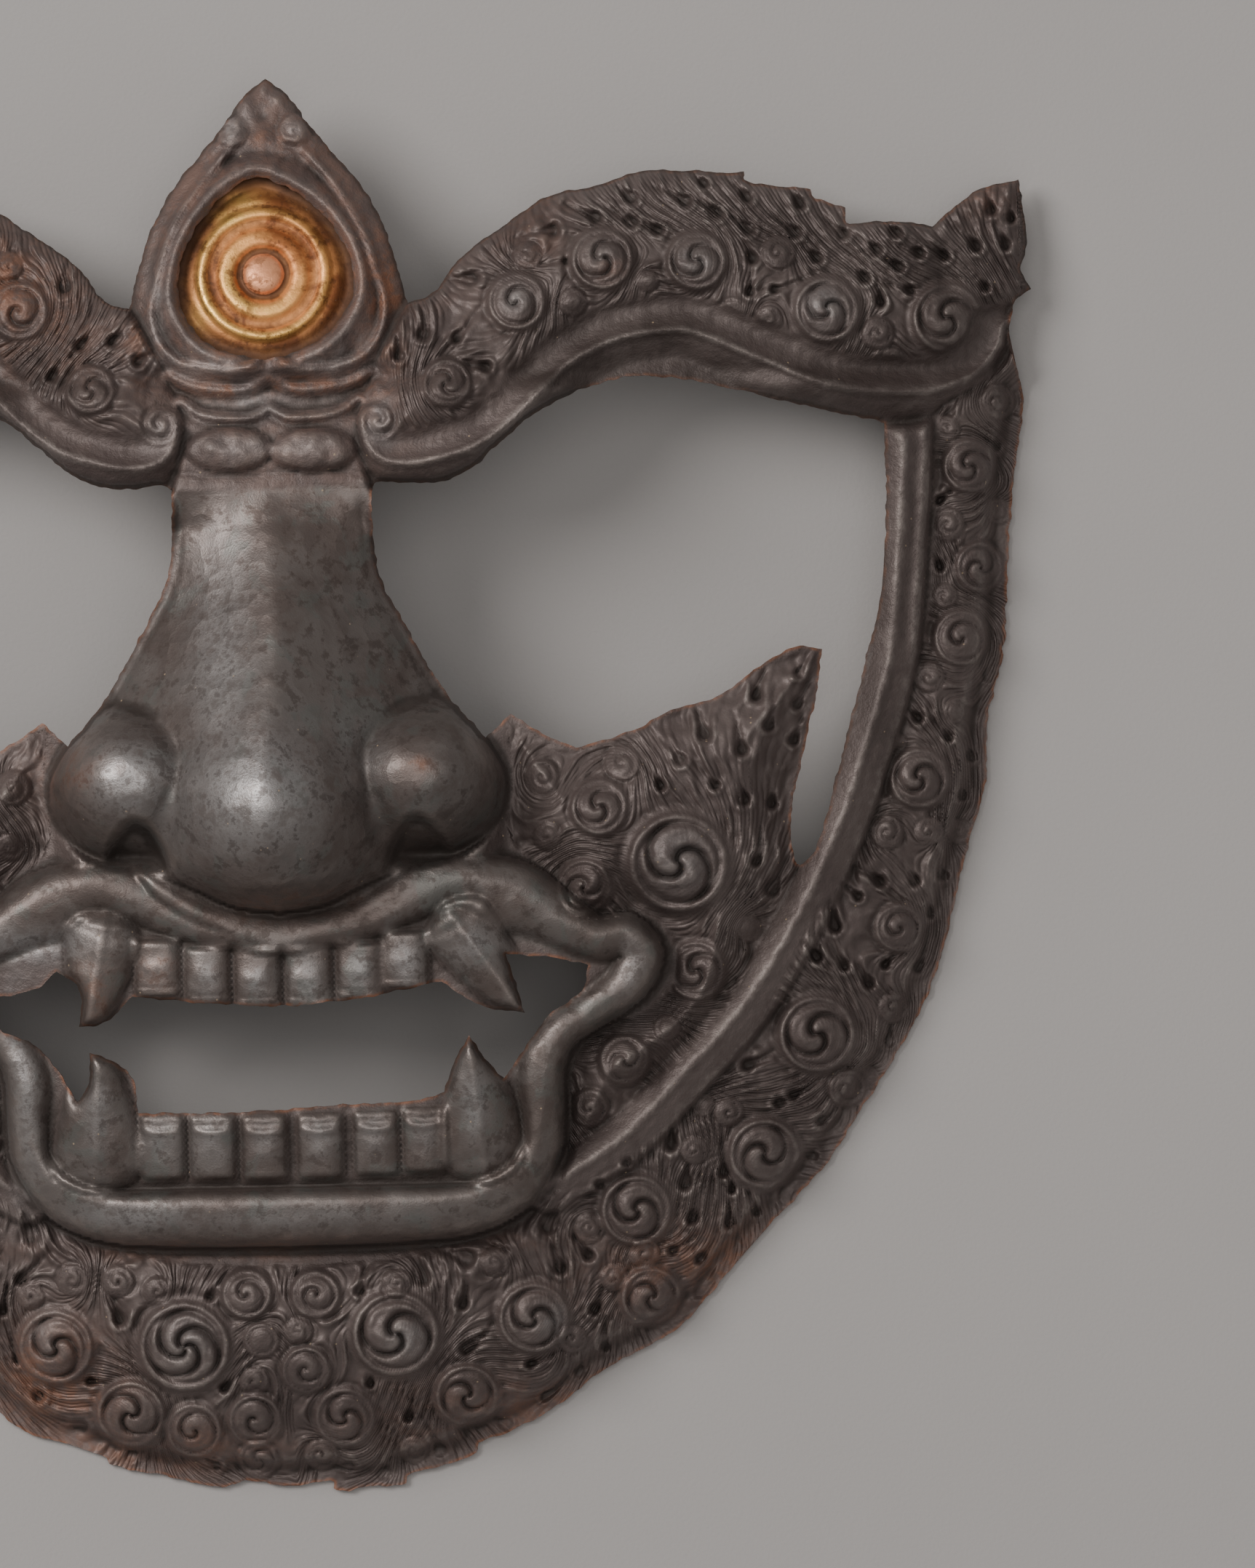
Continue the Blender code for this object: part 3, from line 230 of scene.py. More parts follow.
# Drop-shaped pits punched between the locks: x, y, radius. Both sides carry them.
PITS = [
    (39, 113.4, 1.8), (47.4, 112.6, 1.7), (32.8, 108.2, 1.6), (51.3, 127.6, 2.2), (72.1, 139.6, 1.9),
    (83, 142.7, 1.8), (92, 147.6, 1.9), (92, 141.3, 1.8), (105.7, 146.4, 1.8), (113.3, 143.2, 2),
    (121.4, 147.3, 1.7), (134.6, 145.6, 1.8), (121.4, 139, 1.8), (133.2, 138, 1.8),
    (122.4, 131.4, 1.7), (138.6, 131.4, 1.7), (153.6, 133.3, 1.7), (158.8, 137.6, 1.7),
    (150.7, 126.2, 1.7), (154.6, 120, 1.5), (159.3, 129, 1.6), (164.6, 132.4, 1.7),
    (171, 131.8, 1.7), (162.1, 122.8, 1.5), (179.2, 134.1, 1.8), (187, 134.6, 1.7),
    (183.4, 143.4, 1.7), (188.4, 141.3, 1.5), (127.6, 123.3, 1.4), (121.4, 122.8, 1.4),
    (54.6, 104.9, 1.6), (98.6, 139, 1.5), (76, 131.5, 1.3), (145.6, 137.5, 1.6), (110.5, 151, 1.4),
    (181.5, 123.6, 1.4), (187.2, 118, 1.4), (162, 14.5, 1.5), (170, 9.6, 1.4), (175.6, 4.5, 1.5),
    (183.8, 83.5, 1.5), (168.6, 69.8, 1.3), (184.8, 42.6, 1.4), (168.6, 53, 1.4), (180.6, 25.2, 1.5),
    (173.2, -5.4, 1.5), (107.6, 11.5, 1.9), (117.1, 7.3, 1.8), (123.8, 13.4, 1.7), (130.1, 9.5, 1.6),
    (121, 20.9, 1.7), (131.3, 18.6, 1.6), (117.1, -5.1, 1.9), (124.2, -6.3, 1.6),
    (119.9, -20.7, 1.7), (123.8, -28, 2.2), (96.2, -1.2, 1.5), (101.3, 5.2, 1.7), (132, 26.4, 1.5),
    (57.6, 10.4, 1.6), (110, -1.5, 1.4), (92.4, -37.6, 1.3), (114, -57.4, 1.3),
    (151.4, -26.8, 1.8), (160.5, -26.8, 1.8), (167.6, -25.5, 1.6), (164.4, -35.2, 1.6),
    (140, -37.9, 1.8), (134.9, -45.4, 1.8), (142, -47.8, 1.8), (161.1, -49, 1.7),
    (148.4, -52.4, 1.8), (153.4, -67.6, 1.5), (117.1, -72.6, 2), (128.6, -80.4, 1.7),
    (135.7, -87.6, 1.6), (97.4, -92.4, 2), (100.5, -102.3, 2.2), (133, -96.3, 1.6),
    (125.6, -107.4, 1.6), (65.8, -111.6, 3.2), (102.1, -111.4, 1.8), (111.6, -112.9, 1.8),
    (68.5, -123.1, 1.9), (75.6, -120, 1.6), (104, -122, 1.7), (97, -119.6, 1.4),
    (77, -134, 1.7), (79.4, -144, 1.5), (98, -137.4, 1.4), (104, -131, 1.6),
    (118.4, -110.4, 1.5), (110.4, -99.8, 1.6), (124.8, -82.6, 1.5), (144.6, -66.6, 1.4),
    (152.6, -48, 1.3), (146, -30.5, 1.3), (112.4, -104.4, 1.3), (86, -96.4, 1.5), (78.6, -101.8, 1.3),
]
RIGHT_PITS = [
    (64, -156.5, 1.5), (72.4, -150.4, 1.5), (53.5, -163.6, 1.6), (54, -118.6, 1.6),
    (45, -119.9, 2.6), (33.6, -124.4, 2.6), (43.5, -131.4, 1.8), (44.4, -143, 2.2),
    (29, -160.4, 1.6), (36.6, -169.4, 1.8), (13.4, -173.4, 1.8), (22.4, -175.4, 1.8),
    (6.5, -126.6, 2.4), (17.6, -127.4, 1.5), (19.6, -151.4, 1.3), (60.4, -147.8, 1.4),
]
LEFT_PITS = [
    (-43.5, -133.5, 2.0), (-65, -153.6, 1.7), (-54.5, -161.6, 2.2), (-14.6, -126.9, 1.8),
    (-17.4, -151.6, 1.5), (-42, -169.2, 1.7), (-33.4, -151, 1.6), (-73.4, -131, 1.6),
    (-51.4, -149.6, 1.5), (-20, -128, 1.5), (-70, -144, 1.5), (-20.4, -172.4, 1.5),
]

# Patches of finish and of painted highlight and shade: x, y, reach along x, reach along y and strength
# Painted highlights, partly scuffed metal: silvery patches on nose, lips, teeth, fangs and curls, mostly on
# the -X side towards the light
PAINTED_HIGHLIGHTS_AND_SCUFFS = [
    (-13, 30, 8, 34, 0.6), (-6, 0, 17, 14, 1.0), (-37, 4, 12, 9, 1.0), (-46, 10, 6, 3, 0.5),
    (-10, 98, 14, 5, 0.6), (12, 98, 12, 4, 0.45), (-28, 116, 2.5, 12, 0.6), (24, 112, 4, 8, 0.3),
    (-16, 107, 10, 4, 0.6), (16, 107, 9, 4, 0.5), (-8, 168, 5, 4, 0.5), (-62, -38, 16, 4, 0.7),
    (-66, -75, 4, 22, 0.8), (-38, -107, 16, 3.5, 0.7),
    (20, 8, 9, 12, 0.35), (40, 2, 8, 8, 0.3), (88, -47, 3, 9, 0.4), (0, -108, 34, 3, 0.35),
    (-6, 86, 8, 3, 0.45), (8, 86, 7, 2.5, 0.4), (-31, -45, 3.5, 5, 0.45), (-18.5, -47, 3, 5, 0.5),
    (-6, -48, 3, 5, 0.6), (7, -48, 3, 5, 0.6), (19.7, -46.5, 3, 5, 0.6), (31.4, -44, 3, 5, 0.7),
    (49, -40, 5, 5, 0.6), (-46, -44, 3, 6, 0.3), (-47, -80, 3, 10, 0.5), (48, -80, 3, 9, 0.6),
    (-31, -88, 4, 5, 0.35), (-18, -88, 4, 5, 0.4), (-5, -88, 3.5, 5, 0.4), (9, -88, 3.5, 5, 0.4),
    (23, -88, 3.5, 5, 0.35), (35, -88, 3.5, 5, 0.35), (-27, -140, 6, 6, 0.3), (29, -140, 5, 4, 0.4),
    (66, -136, 4, 4, 0.35), (-62, -137, 4, 6, 0.35), (101, -20, 7, 7, 0.25), (84, 133, 3, 3, 0.5),
    (140, 119, 4, 4, 0.4), (62, 122, 3, 3, 0.5), (108, 131, 4, 3, 0.4), (-8.7, 167, 2.5, 2, 0.8),
    (7.2, 166.5, 2.5, 2, 0.7), (27.4, 92, 4, 6, 0.45), (-27.4, 90, 5, 5, 0.4),
]
REDDENED = [
    (36, 4, 4, 4, 0.7), (65, 142, 8, 8, 0.8), (183, 147, 7, 6, 0.7), (-70, 130, 14, 14, 0.8),
    (22, 100, 10, 10, 0.5), (26, 106, 8, 14, 0.6), (-20, 100, 12, 6, 0.35), (-60, 118, 20, 16, 0.45),
    (0, -116, 60, 3, 0.45), (110, -125, 30, 10, 0.6), (60, -160, 40, 9, 0.4), (-62, -150, 16, 14, 0.7),
    (-40, -168, 30, 6, 0.6), (-52, 5, 10, 10, 0.4), (0, 150, 24, 18, 0.4), (86, 131, 5, 5, 0.3),
    (0, 130, 36, 44, 0.5), (0, 101, 24, 4, 1.0), (30, 124, 7, 20, 0.9), (-30, 114, 6, 12, 0.9),
    (0, 110, 20, 6, 0.9), (-24, 112, 6, 10, 0.5), (24, 112, 6, 10, 0.5), (0, 163, 9, 6, 0.6),
    (0, -29, 20, 4, 0.5), (-31, -45, 5, 6, 0.35), (-46, -50, 6, 9, 0.35),
]
# Painted shade, partly darker patina: near-black patches on the brow walls, crown hair, moulding sides and
# under the teeth, where shade falls
PAINTED_SHADE_PATCHES = [
    (78, 103, 28, 7, 0.75), (108, 101, 24, 7, 0.8), (-78, 103, 28, 7, 0.7), (-108, 101, 24, 7, 0.7),
    (146, 50, 5, 52, 0.35), (-146, 50, 5, 52, 0.35), (0, -70, 60, 4, 0.3),
    (90, 113, 34, 8, 0.6), (-90, 113, 34, 8, 0.6), (140, 100, 34, 8, 0.45), (-140, 100, 34, 8, 0.45),
    (52, 104, 14, 10, 0.4), (-52, 104, 14, 10, 0.4), (105, 138, 60, 16, 0.35), (-105, 138, 60, 16, 0.3),
    (165, 132, 22, 22, 0.35), (-165, 132, 22, 22, 0.35), (0, 168, 14, 8, 0.2), (34, 130, 5, 30, 0.35),
    (-34, 130, 5, 30, 0.3), (150, 20, 8, 60, 0.35), (42, -4, 9, 14, 0.3), (0, -62, 50, 3, 0.4),
]

# Colours of the finishes and of the painted highlight and shade, as linear red, green and blue
PATINA_DARK, PATINA_LIGHT = (0.092, 0.069, 0.064, 1), (0.12, 0.093, 0.086, 1)
BARE_DARK, BARE_LIGHT = (0.118, 0.093, 0.084, 1), (0.152, 0.131, 0.122, 1)
BARE_GREENISH = (0.125, 0.13, 0.12, 1)
# Silvery colour of the painted highlights, partly scuffed metal
SILVERY_HIGHLIGHT = (0.42, 0.405, 0.4, 1)
BLOT = (0.066, 0.049, 0.043, 1)
RUBBED = (0.29, 0.25, 0.23, 1)
COPPER_RED = (0.25, 0.105, 0.056, 1)
# Colour of the painted shade, partly darker patina
PAINTED_SHADE_COLOUR = (0.034, 0.024, 0.02, 1)
DIRT = (0.026, 0.018, 0.0145, 1)
DUST = (0.3, 0.22, 0.14, 1)
GILT_DARK, GILT_LIGHT = (0.34, 0.11, 0.037, 1), (0.84, 0.36, 0.125, 1)
GOLD = (1.0, 0.64, 0.19, 1)
BOSS_COPPER = (0.84, 0.38, 0.2, 1)
GILT_STAIN = (0.17, 0.062, 0.024, 1)
# Dirt in the gilt's hollows and painted shade towards the lid
GILT_DIRT_AND_PAINTED_SHADE = (0.075, 0.034, 0.016, 1)
PAPER_DARK, PAPER_LIGHT = (0.345, 0.328, 0.32, 1), (0.395, 0.377, 0.368, 1)


def smooth(t):
    """A soft step from 0 to 1."""
    t = np.clip(t, 0.0, 1.0)
    return t * t * (3.0 - 2.0 * t)


def bell(t):
    """1 at t = 0, falling off softly on both sides."""
    return np.exp(-t * t)


def roll(t):
    """A quarter round: 0 at the edge and 1 from t = 1 on."""
    t = np.clip(t, 0.0, 1.0)
    return np.sqrt(1.0 - (1.0 - t) ** 2)


def soft_max(a, b, width):
    """The greater of a and b, rounded over where they cross."""
    share = np.clip(0.5 + 0.5 * (a - b) / width, 0.0, 1.0)
    return b + (a - b) * share + width * share * (1.0 - share)


def ripple(x, y, size, seed):
    """Uneven waves of about one size, from -1 to 1."""
    rng = np.random.default_rng(seed)
    total = np.zeros(np.shape(x))
    for _ in range(9):
        angle = rng.uniform(0, 2 * math.pi)
        pace = 2 * math.pi / (size * rng.uniform(0.75, 1.6))
        total += np.cos(pace * (x * math.cos(angle) + y * math.sin(angle)) + rng.uniform(0, 6.3))
    return total / 4.0


def curve(points, step):
    """A smooth line through the points with sides of about one step, split at doubled points."""
    spans = [[points[0]]]
    for point in points[1:]:
        if point == spans[-1][-1]:
            spans.append([point])
        else:
            spans[-1].append(point)
    line = []
    for span in spans:
        if len(span) < 2:
            continue
        for i in range(len(span) - 1):
            p1 = np.array(span[i], float)
            p2 = np.array(span[i + 1], float)
            p0 = np.array(span[i - 1], float) if i else 2 * p1 - p2
            p3 = np.array(span[i + 2], float) if i + 2 < len(span) else 2 * p2 - p1
            count = max(1, round(float(np.hypot(*(p2 - p1)[:2])) / step))
            for t in np.arange(count) / count:
                bend = (2 * p0 - 5 * p1 + 4 * p2 - p3) * t * t + (3 * p1 - p0 - 3 * p2 + p3) * t**3
                line.append(p1 + 0.5 * ((p2 - p0) * t + bend))
    line.append(np.array(spans[-1][-1], float))
    return np.array(line)


def closed(points, step):
    """The smooth line through the points and back to the first."""
    return curve([*points, points[0]], step)[:-1]


def eased(value, pairs):
    """A smooth graph through the pairs, read at each value."""
    graph = curve(pairs, (pairs[-1][0] - pairs[0][0]) / 60.0)
    return np.interp(value, graph[:, 0], graph[:, 1])


def mirrored(line):
    """The points on the other side of the mask, in the opposite order."""
    return [(-x, y) for x, y in line[::-1]]


def leaf_border():
    """Once round the leaf, with a corner at the notch of its foot."""
    right = LEAF_SIDE[:-1] + LEAF_FOOT
    return [*right, right[-1], *mirrored(right)[1:-1]]


def inside(x, y, loop):
    """True for the points inside a closed loop. The points are sorted by y."""
    odd = np.zeros(x.shape, bool)
    for (ax, ay), (bx, by) in zip(loop, np.roll(loop, -1, axis=0), strict=True):
        if ay == by:
            continue
        first, last = np.searchsorted(y, (min(ay, by), max(ay, by)))
        odd[first:last] ^= x[first:last] < ax + (y[first:last] - ay) * (bx - ax) / (by - ay)
    return odd


def to_line(x, y, line, reach):
    """Distance to an open line up to reach, the side (+ to its left) and the place along it.

    The points are sorted by y."""
    best = np.full(x.shape, float(reach))
    side = np.ones(x.shape)
    place = np.zeros(x.shape)
    for i in range(len(line) - 1):
        ax, ay = line[i][:2]
        dx, dy = line[i + 1][0] - ax, line[i + 1][1] - ay
        low, high = min(ay, ay + dy) - reach, max(ay, ay + dy) + reach
        first, last = np.searchsorted(y, (low, high))
        middle = ax + dx / 2
        pick = first + np.flatnonzero(np.abs(x[first:last] - middle) < reach + abs(dx) / 2)
        if not len(pick):
            continue
        px, py = x[pick] - ax, y[pick] - ay
        t = np.clip((px * dx + py * dy) / max(dx * dx + dy * dy, 1e-9), 0.0, 1.0)
        gap = np.hypot(px - t * dx, py - t * dy)
        near = gap < best[pick]
        pick = pick[near]
        best[pick] = gap[near]
        side[pick] = np.sign(dx * py[near] - dy * px[near])
        place[pick] = i + t[near]
    return best, side, place


def depth_in(x, y, loop, reach):
    """Distance to a closed loop up to reach, positive inside it."""
    gap, _, _ = to_line(x, y, np.concatenate([loop, loop[:1]]), reach)
    return np.where(inside(x, y, loop), gap, -gap)


def mask_outline(step):
    """The outer edge of the sheet, once round against the clock from the tip of the leaf."""
    right = curve(LEAF_SIDE, step)[:-1].tolist() + curve(BROW_TOP, step).tolist()
    jaw = curve(JAW_SIDE, step).tolist()
    chin = curve(CHIN_RIGHT, step)[:-1].tolist() + curve(CHIN_LEFT, step).tolist()
    left = mirrored(jaw) + mirrored(right)[:-1]
    return np.array((right + jaw + chin + left)[::-1])


def outline_middle():
    """Half way between chin and leaf tip, which the model's origin lies on."""
    rows = mask_outline(1.0)[:, 1]
    return 0.5 * (rows.min() + rows.max())


def eye_gap(step):
    """The gap between brow, moulding, cheek and nose on the right."""
    parts = [BROW_UNDER, BAND_INNER_EDGE, CHEEK_TIP_EDGE, CHEEK_TOP, NOSE_SIDE]
    points = [parts[0][0]]
    for part in parts:
        points += part if part[0] != points[-1] else part[1:]
    return curve(points, step)[:-1]


def openings(step):
    """The two eye gaps, the lid opening and the mouth."""
    right = eye_gap(step)
    left = right[::-1] * np.array([-1.0, 1.0])
    return [right, left, closed(LID, step), closed(MOUTH, step)]


def torn(loop, depth):
    """The loop as the chisel left it: small uneven bites across its run."""
    along = np.roll(loop, -1, axis=0) - np.roll(loop, 1, axis=0)
    along /= np.maximum(np.linalg.norm(along, axis=1), 1e-9)[:, None]
    across = np.column_stack([along[:, 1], -along[:, 0]])
    bite = ripple(loop[:, 0], loop[:, 1], 3.2, 5) + 0.8 * ripple(loop[:, 0], loop[:, 1], 9.0, 6)
    return loop + across * (depth * bite)[:, None]


def brow_outline(step):
    """Once round the right brow, beginning under the leaf."""
    leaf_gap = [(35, 121.5), (30, 112), (26, 104.5)]
    upper = curve(BROW_TOP[1:], step).tolist()[::-1]
    neck = curve(leaf_gap + BROW_NECK[1:], step).tolist()[:-1]
    under = curve(BROW_UNDER + BROW_FOOT[1:], step).tolist()
    return np.array(neck + under + upper[:-1])


def inside_moulding(step):
    """Everything that lies inside the outer edge of the mouldings, on the right."""
    edge = curve(BAND_OUTER_EDGE, step).tolist()
    return np.array([(0.0, 200.0), (168.5, 200.0), *edge])


def nose_outline(step):
    """Once round the nose."""
    half = [
        (25.2, 77), (25.1, 67), (26.8, 52.9), (33.9, 38.7), (42.6, 23.7), (52.6, 11.6),
        (57.6, 2), (56.5, -8), (51, -15), (44, -18.5), (35, -20.5), (27, -22.5), (20, -25.5),
        (11, -29.6), (0, -31.2),
    ]
    right = curve(half, step).tolist()
    return np.array(right + mirrored(right)[1:-1])


def dome(x, y):
    """The plain bowl of the face without any feature."""
    angles, reaches = np.array(DOME_FOOT, float).T
    fine = np.arange(-90.0, 91.0)
    reach = np.interp(fine, angles, reaches)
    kernel = bell(np.arange(-15, 16) / 8.0)
    padded = np.concatenate([reach[15:0:-1], reach, reach[-2:-17:-1]])
    reach = np.convolve(padded, kernel / kernel.sum(), "valid")
    angle = np.degrees(np.arctan2(y, np.abs(x) + 1e-9))
    share = np.hypot(x, y) / np.interp(angle, fine, reach)
    return DOME_RISE * (1.0 - share**2.6)


def nose_height(x, y):
    """Height of the nose over the drawing plane: ridged back, ball of the tip and two wings."""
    drop = NOSE_TIP - NOSE_ROOT
    ridge = NOSE_ROOT + drop * eased(
        y, [(-40, 0.1), (-31, 0.4), (-24, 0.68), (-14, 0.92), (-4, 1.0), (3, 0.96), (12, 0.83),
            (30, 0.5), (50, 0.17), (66, -0.07), (76, -0.15), (84, -0.19)]
    )
    side = eased(y, [(-40, 50), (0, 51), (30, 50), (50, 49), (66, 49.5), (84, 51)])
    middle = eased(y, [(-20, -2.0), (10, -1.5), (40, 0.8), (84, 1.2)])
    width = eased(y, [(-40, 36), (-20, 40), (-6, 40), (6, 39), (16, 43), (30, 38), (50, 28),
                      (66, 25.4), (84, 25)])
    across = np.clip(np.sqrt((x - middle) ** 2 + 4.0) / width, 0.0, 1.2)
    back = side + (ridge - side) * (1.0 - across**1.25)
    tip = NOSE_TIP - 1 - 26.0 * (((x + 1.5) / 27.0) ** 2 + ((y + 4.0) / 27.0) ** 2)
    wing_x = np.abs(x) - 36.0
    wing_x = wing_x / np.where(wing_x < 0, 22.0, 20.0)
    wing_y = (y - 3.0) / np.where(y > 3.0, 17.5, 19.0)
    wing = NOSE_TIP - 16.5 - 22.0 * (wing_x**2 + wing_y**2) ** 1.2
    height = soft_max(back, tip, 4.0)
    return soft_max(height, wing, 3.2 + 5.5 * smooth((2.0 - y) / 10.0))


def curl_list():
    """Every curl as x, y, radius, arms and turning sense."""
    found = []
    for x, y, radius, arms, turn in CURLS:
        found.append((x, y, radius, arms, turn))
        found.append((-x, y, radius, arms, -turn))
    return found + RIGHT_CURLS + LEFT_CURLS


def pit_list():
    """Every pit as x, y and radius, from the chin up."""
    both = [(-x, y, radius) for x, y, radius in PITS]
    return sorted(PITS + both + RIGHT_PITS + LEFT_PITS, key=lambda pit: pit[1])


def above_crest(half, y):
    """Distance to the crest of the brow, negative on its lower wall. The crest dies out at the tip."""
    crest = curve(BROW_CREST, 2.0)
    gap, _, _ = to_line(half, y, crest, 48.0)
    over = inside(half, y, np.array([*crest.tolist(), (180.0, 210.0), (23.5, 210.0)]))
    above = np.where(over, gap, -gap)
    fade = smooth((y - 113.0) / 10.0) * smooth((half - 168.0) / 8.0)
    return above + (12.0 - above) * fade


def hair_flow(x, y):
    """A number that stays the same along a strand and grows across the strands."""
    half = np.abs(x)
    brow = smooth((y - 70.0) / 20.0) * smooth((194.0 - half) / 4.0)
    cheek = inside(half, y, closed(CHEEK_HAIR, 6.0)).astype(float)
    beard = smooth((-y - 70.0) / 50.0)
    fan = 55.0 * np.arctan2(half - 56.0, y + 62.0)
    flow = half * (1.0 - 0.1 * beard) - 0.35 * y * beard + 0.22 * y * brow
    flow = flow + 3.0 * np.sin(y / 11.0 + half / 23.0) + 1.1 * ripple(x, y, 26.0, 11)
    flow = flow * (1 - cheek) + fan * cheek
    for cx, cy, radius, _, turn in curl_list():
        away = np.hypot(x - cx, y - cy)
        flow = flow + turn * 2.3 * radius * bell(away / (1.75 * radius))
    return flow


def whorls(x, y):
    """The curls: a cushion with a thin rim, grooves that wind in to a boss, and a moat round it."""
    height = np.zeros(x.shape)
    core = np.zeros(x.shape)
    for cx, cy, radius, arms, turn in curl_list():
        first, last = np.searchsorted(y, (cy - 1.8 * radius, cy + 1.8 * radius))
        pick = first + np.flatnonzero(np.abs(x[first:last] - cx) < 1.8 * radius)
        away_x, away_y = x[pick] - cx, y[pick] - cy
        d = np.hypot(away_x, away_y) / radius
        angle = np.arctan2(away_y, away_x)
        lean = turn * (0.9 * math.sin(0.31 * abs(cx) + 0.17 * cy) + 0.5)
        step = 0.5 + 0.5 * np.cos(angle - turn * 2.2)
        full = smooth((1.08 - d) / 0.12)
        cushion = 0.1 * full * (0.35 + 0.65 * step) + 0.15 * np.sqrt(np.clip(1.0 - d * d, 0.0, 1.0))
        rim = (0.05 + 0.06 * step) * bell((d - 0.92) / 0.07) - 0.05 * bell((d - 0.79) / 0.05)
        if arms:
            twist = 4.4 if arms > 1 else 8.2
            wind = arms * (turn * (angle - lean) + twist * (0.8 - d)) / (2 * math.pi)
            near = np.abs(wind - np.round(wind)) * 2 * math.pi / arms
            groove = bell(near * d / np.sqrt(1.0 + (twist * d) ** 2) / 0.075)
            lobe = np.sqrt(np.clip(np.abs(np.sin(math.pi * wind)), 0.0, 1.0))
            carved = 0.13 * lobe * smooth((0.84 - d) / 0.2) - 0.17 * groove * smooth((0.86 - d) / 0.08)
            carved = carved + 0.12 * np.sqrt(np.clip(1.0 - (d / 0.5) ** 2, 0.0, 1.0)) * lobe
            strands = 0.012 * np.cos(2 * math.pi * 3 * wind + 9 * d) * smooth((0.8 - d) / 0.1)
        else:
            carved = 0.16 * np.sqrt(np.clip(1.0 - (d / 0.72) ** 2, 0, 1)) - 0.1 * bell((d - 0.76) / 0.1)
            strands = 0.0
        moat = -0.12 * bell((d - 1.17) / 0.1) * min(1.0, 5.0 / radius)
        here = radius * (cushion + rim + carved + strands + moat)
        height[pick] += here
        core[pick] = np.maximum(core[pick], smooth((1.22 - d) / 0.14))
    return height, core


def punched(x, y):
    """The pits with their tails, and the raised lip round the lower side of each."""
    marks = np.array(pit_list())
    px, py, size = marks.T
    slope_x = hair_flow(px + 0.7, py) - hair_flow(px - 0.7, py)
    slope_y = hair_flow(px, py + 0.7) - hair_flow(px, py - 0.7)
    length = np.maximum(np.hypot(slope_x, slope_y), 1e-6)
    run_x, run_y = -slope_y / length, slope_x / length
    run_x, run_y = run_x * np.sign(run_y + 1e-9), np.abs(run_y)
    height = np.zeros(x.shape)
    for cx, cy, radius, tx, ty in zip(px, py, size, run_x, run_y, strict=True):
        first, last = np.searchsorted(y, (cy - 7 * radius, cy + 7 * radius))
        pick = first + np.flatnonzero(np.abs(x[first:last] - cx) < 7 * radius)
        away_x, away_y = x[pick] - cx, y[pick] - cy
        along = (away_x * tx + away_y * ty) / radius
        across = (away_x * ty - away_y * tx) / radius
        across = across + 0.12 * np.clip(along, 0.0, 7.0) ** 1.4 * np.sign(cx)
        tail = np.clip(along, 0.0, 6.5)
        narrow = 0.82 * (1.0 - 0.62 * smooth(tail / 1.8))
        out = np.where(along < 0, np.hypot(along, across), np.abs(across)) / narrow
        out = np.where(along > 6.5, 9.0, out)
        depth = 2.5 * (1.0 - 0.6 * smooth(tail / 2.0)) * (1.0 - (tail / 6.5) ** 2)
        ring = np.hypot(along, across)
        lip = 0.75 * bell((ring - 1.5) / 0.36) * smooth((1.1 - along) / 1.2)
        side_lip = 0.4 * bell((np.abs(across) - 1.05) / 0.4) * smooth((along - 0.6) / 1.0)
        side_lip = side_lip * smooth((6.5 - along) / 3.0)
        height[pick] += lip + side_lip - depth * smooth((1.25 - out) / 0.6)
    return height


def locks(x, y, flow):
    """Overlapping locks of hair with finer strands on them."""
    turn = flow / LOCK_WIDTH + 0.32 * ripple(x, y, 13.0, 21)
    phase = 2 * math.pi * turn
    lapped = np.cos(phase + 0.75 * np.sin(phase))
    strand = np.cos(2 * math.pi * (flow / STRAND_WIDTH + 0.2 * ripple(x, y, 8.0, 22)))
    swell = 0.75 + 0.4 * ripple(x, y, 9.0, 23)
    return LOCK_RISE * swell * lapped + STRAND_RISE * strand


def mouldings(half, y, brow):
    """The mouldings by the eye gap and along the jaw: a crest, a sloping face and a step."""
    gap, side, _ = to_line(half, y, curve(BAND_CREST, 1.5), 10.0)
    out = np.where(side > 0, gap / 8.2, gap / 5.4)
    face = (1.0 - 0.42 * out) * (1.0 - smooth((out - 0.74) / 0.26))
    wall = 1.0 - np.clip(out, 0.0, 1.0) ** 1.15
    height = BAND_RISE * np.where(side > 0, face, wall) * (out < 1.0)
    second = smooth((y - 26.0) / 12.0) * (side > 0) * (half > 120.0)
    height = height + second * (0.9 * bell((out - 0.66) / 0.12) - 0.7 * bell((out - 0.36) / 0.16))
    height = height - 0.35 * bell((out - 0.24) / 0.06) * (side > 0) * (1 - second)
    return height * (1.0 - smooth(brow / 5.0 + 0.6))


def bridge_bulges(x, y, bridge):
    """Two cushions side by side at the root of the nose, with a crease under them."""
    height = np.zeros(x.shape)
    for centre, low in ((-10.3, 85.5), (10.9, 84.9)):
        bulge = 1.0 - ((x - centre) / 11.0) ** 2 - ((y - low) / 5.6) ** 2
        height = height + 4.6 * np.sqrt(np.clip(bulge, 0.0, 1.0)) * (1 - 0.12 * ripple(x, y, 5.0, 31))
    return height - 0.7 * bell((y - 79.2 - 0.8 * np.sin(x / 6.0)) / 0.8) * bridge


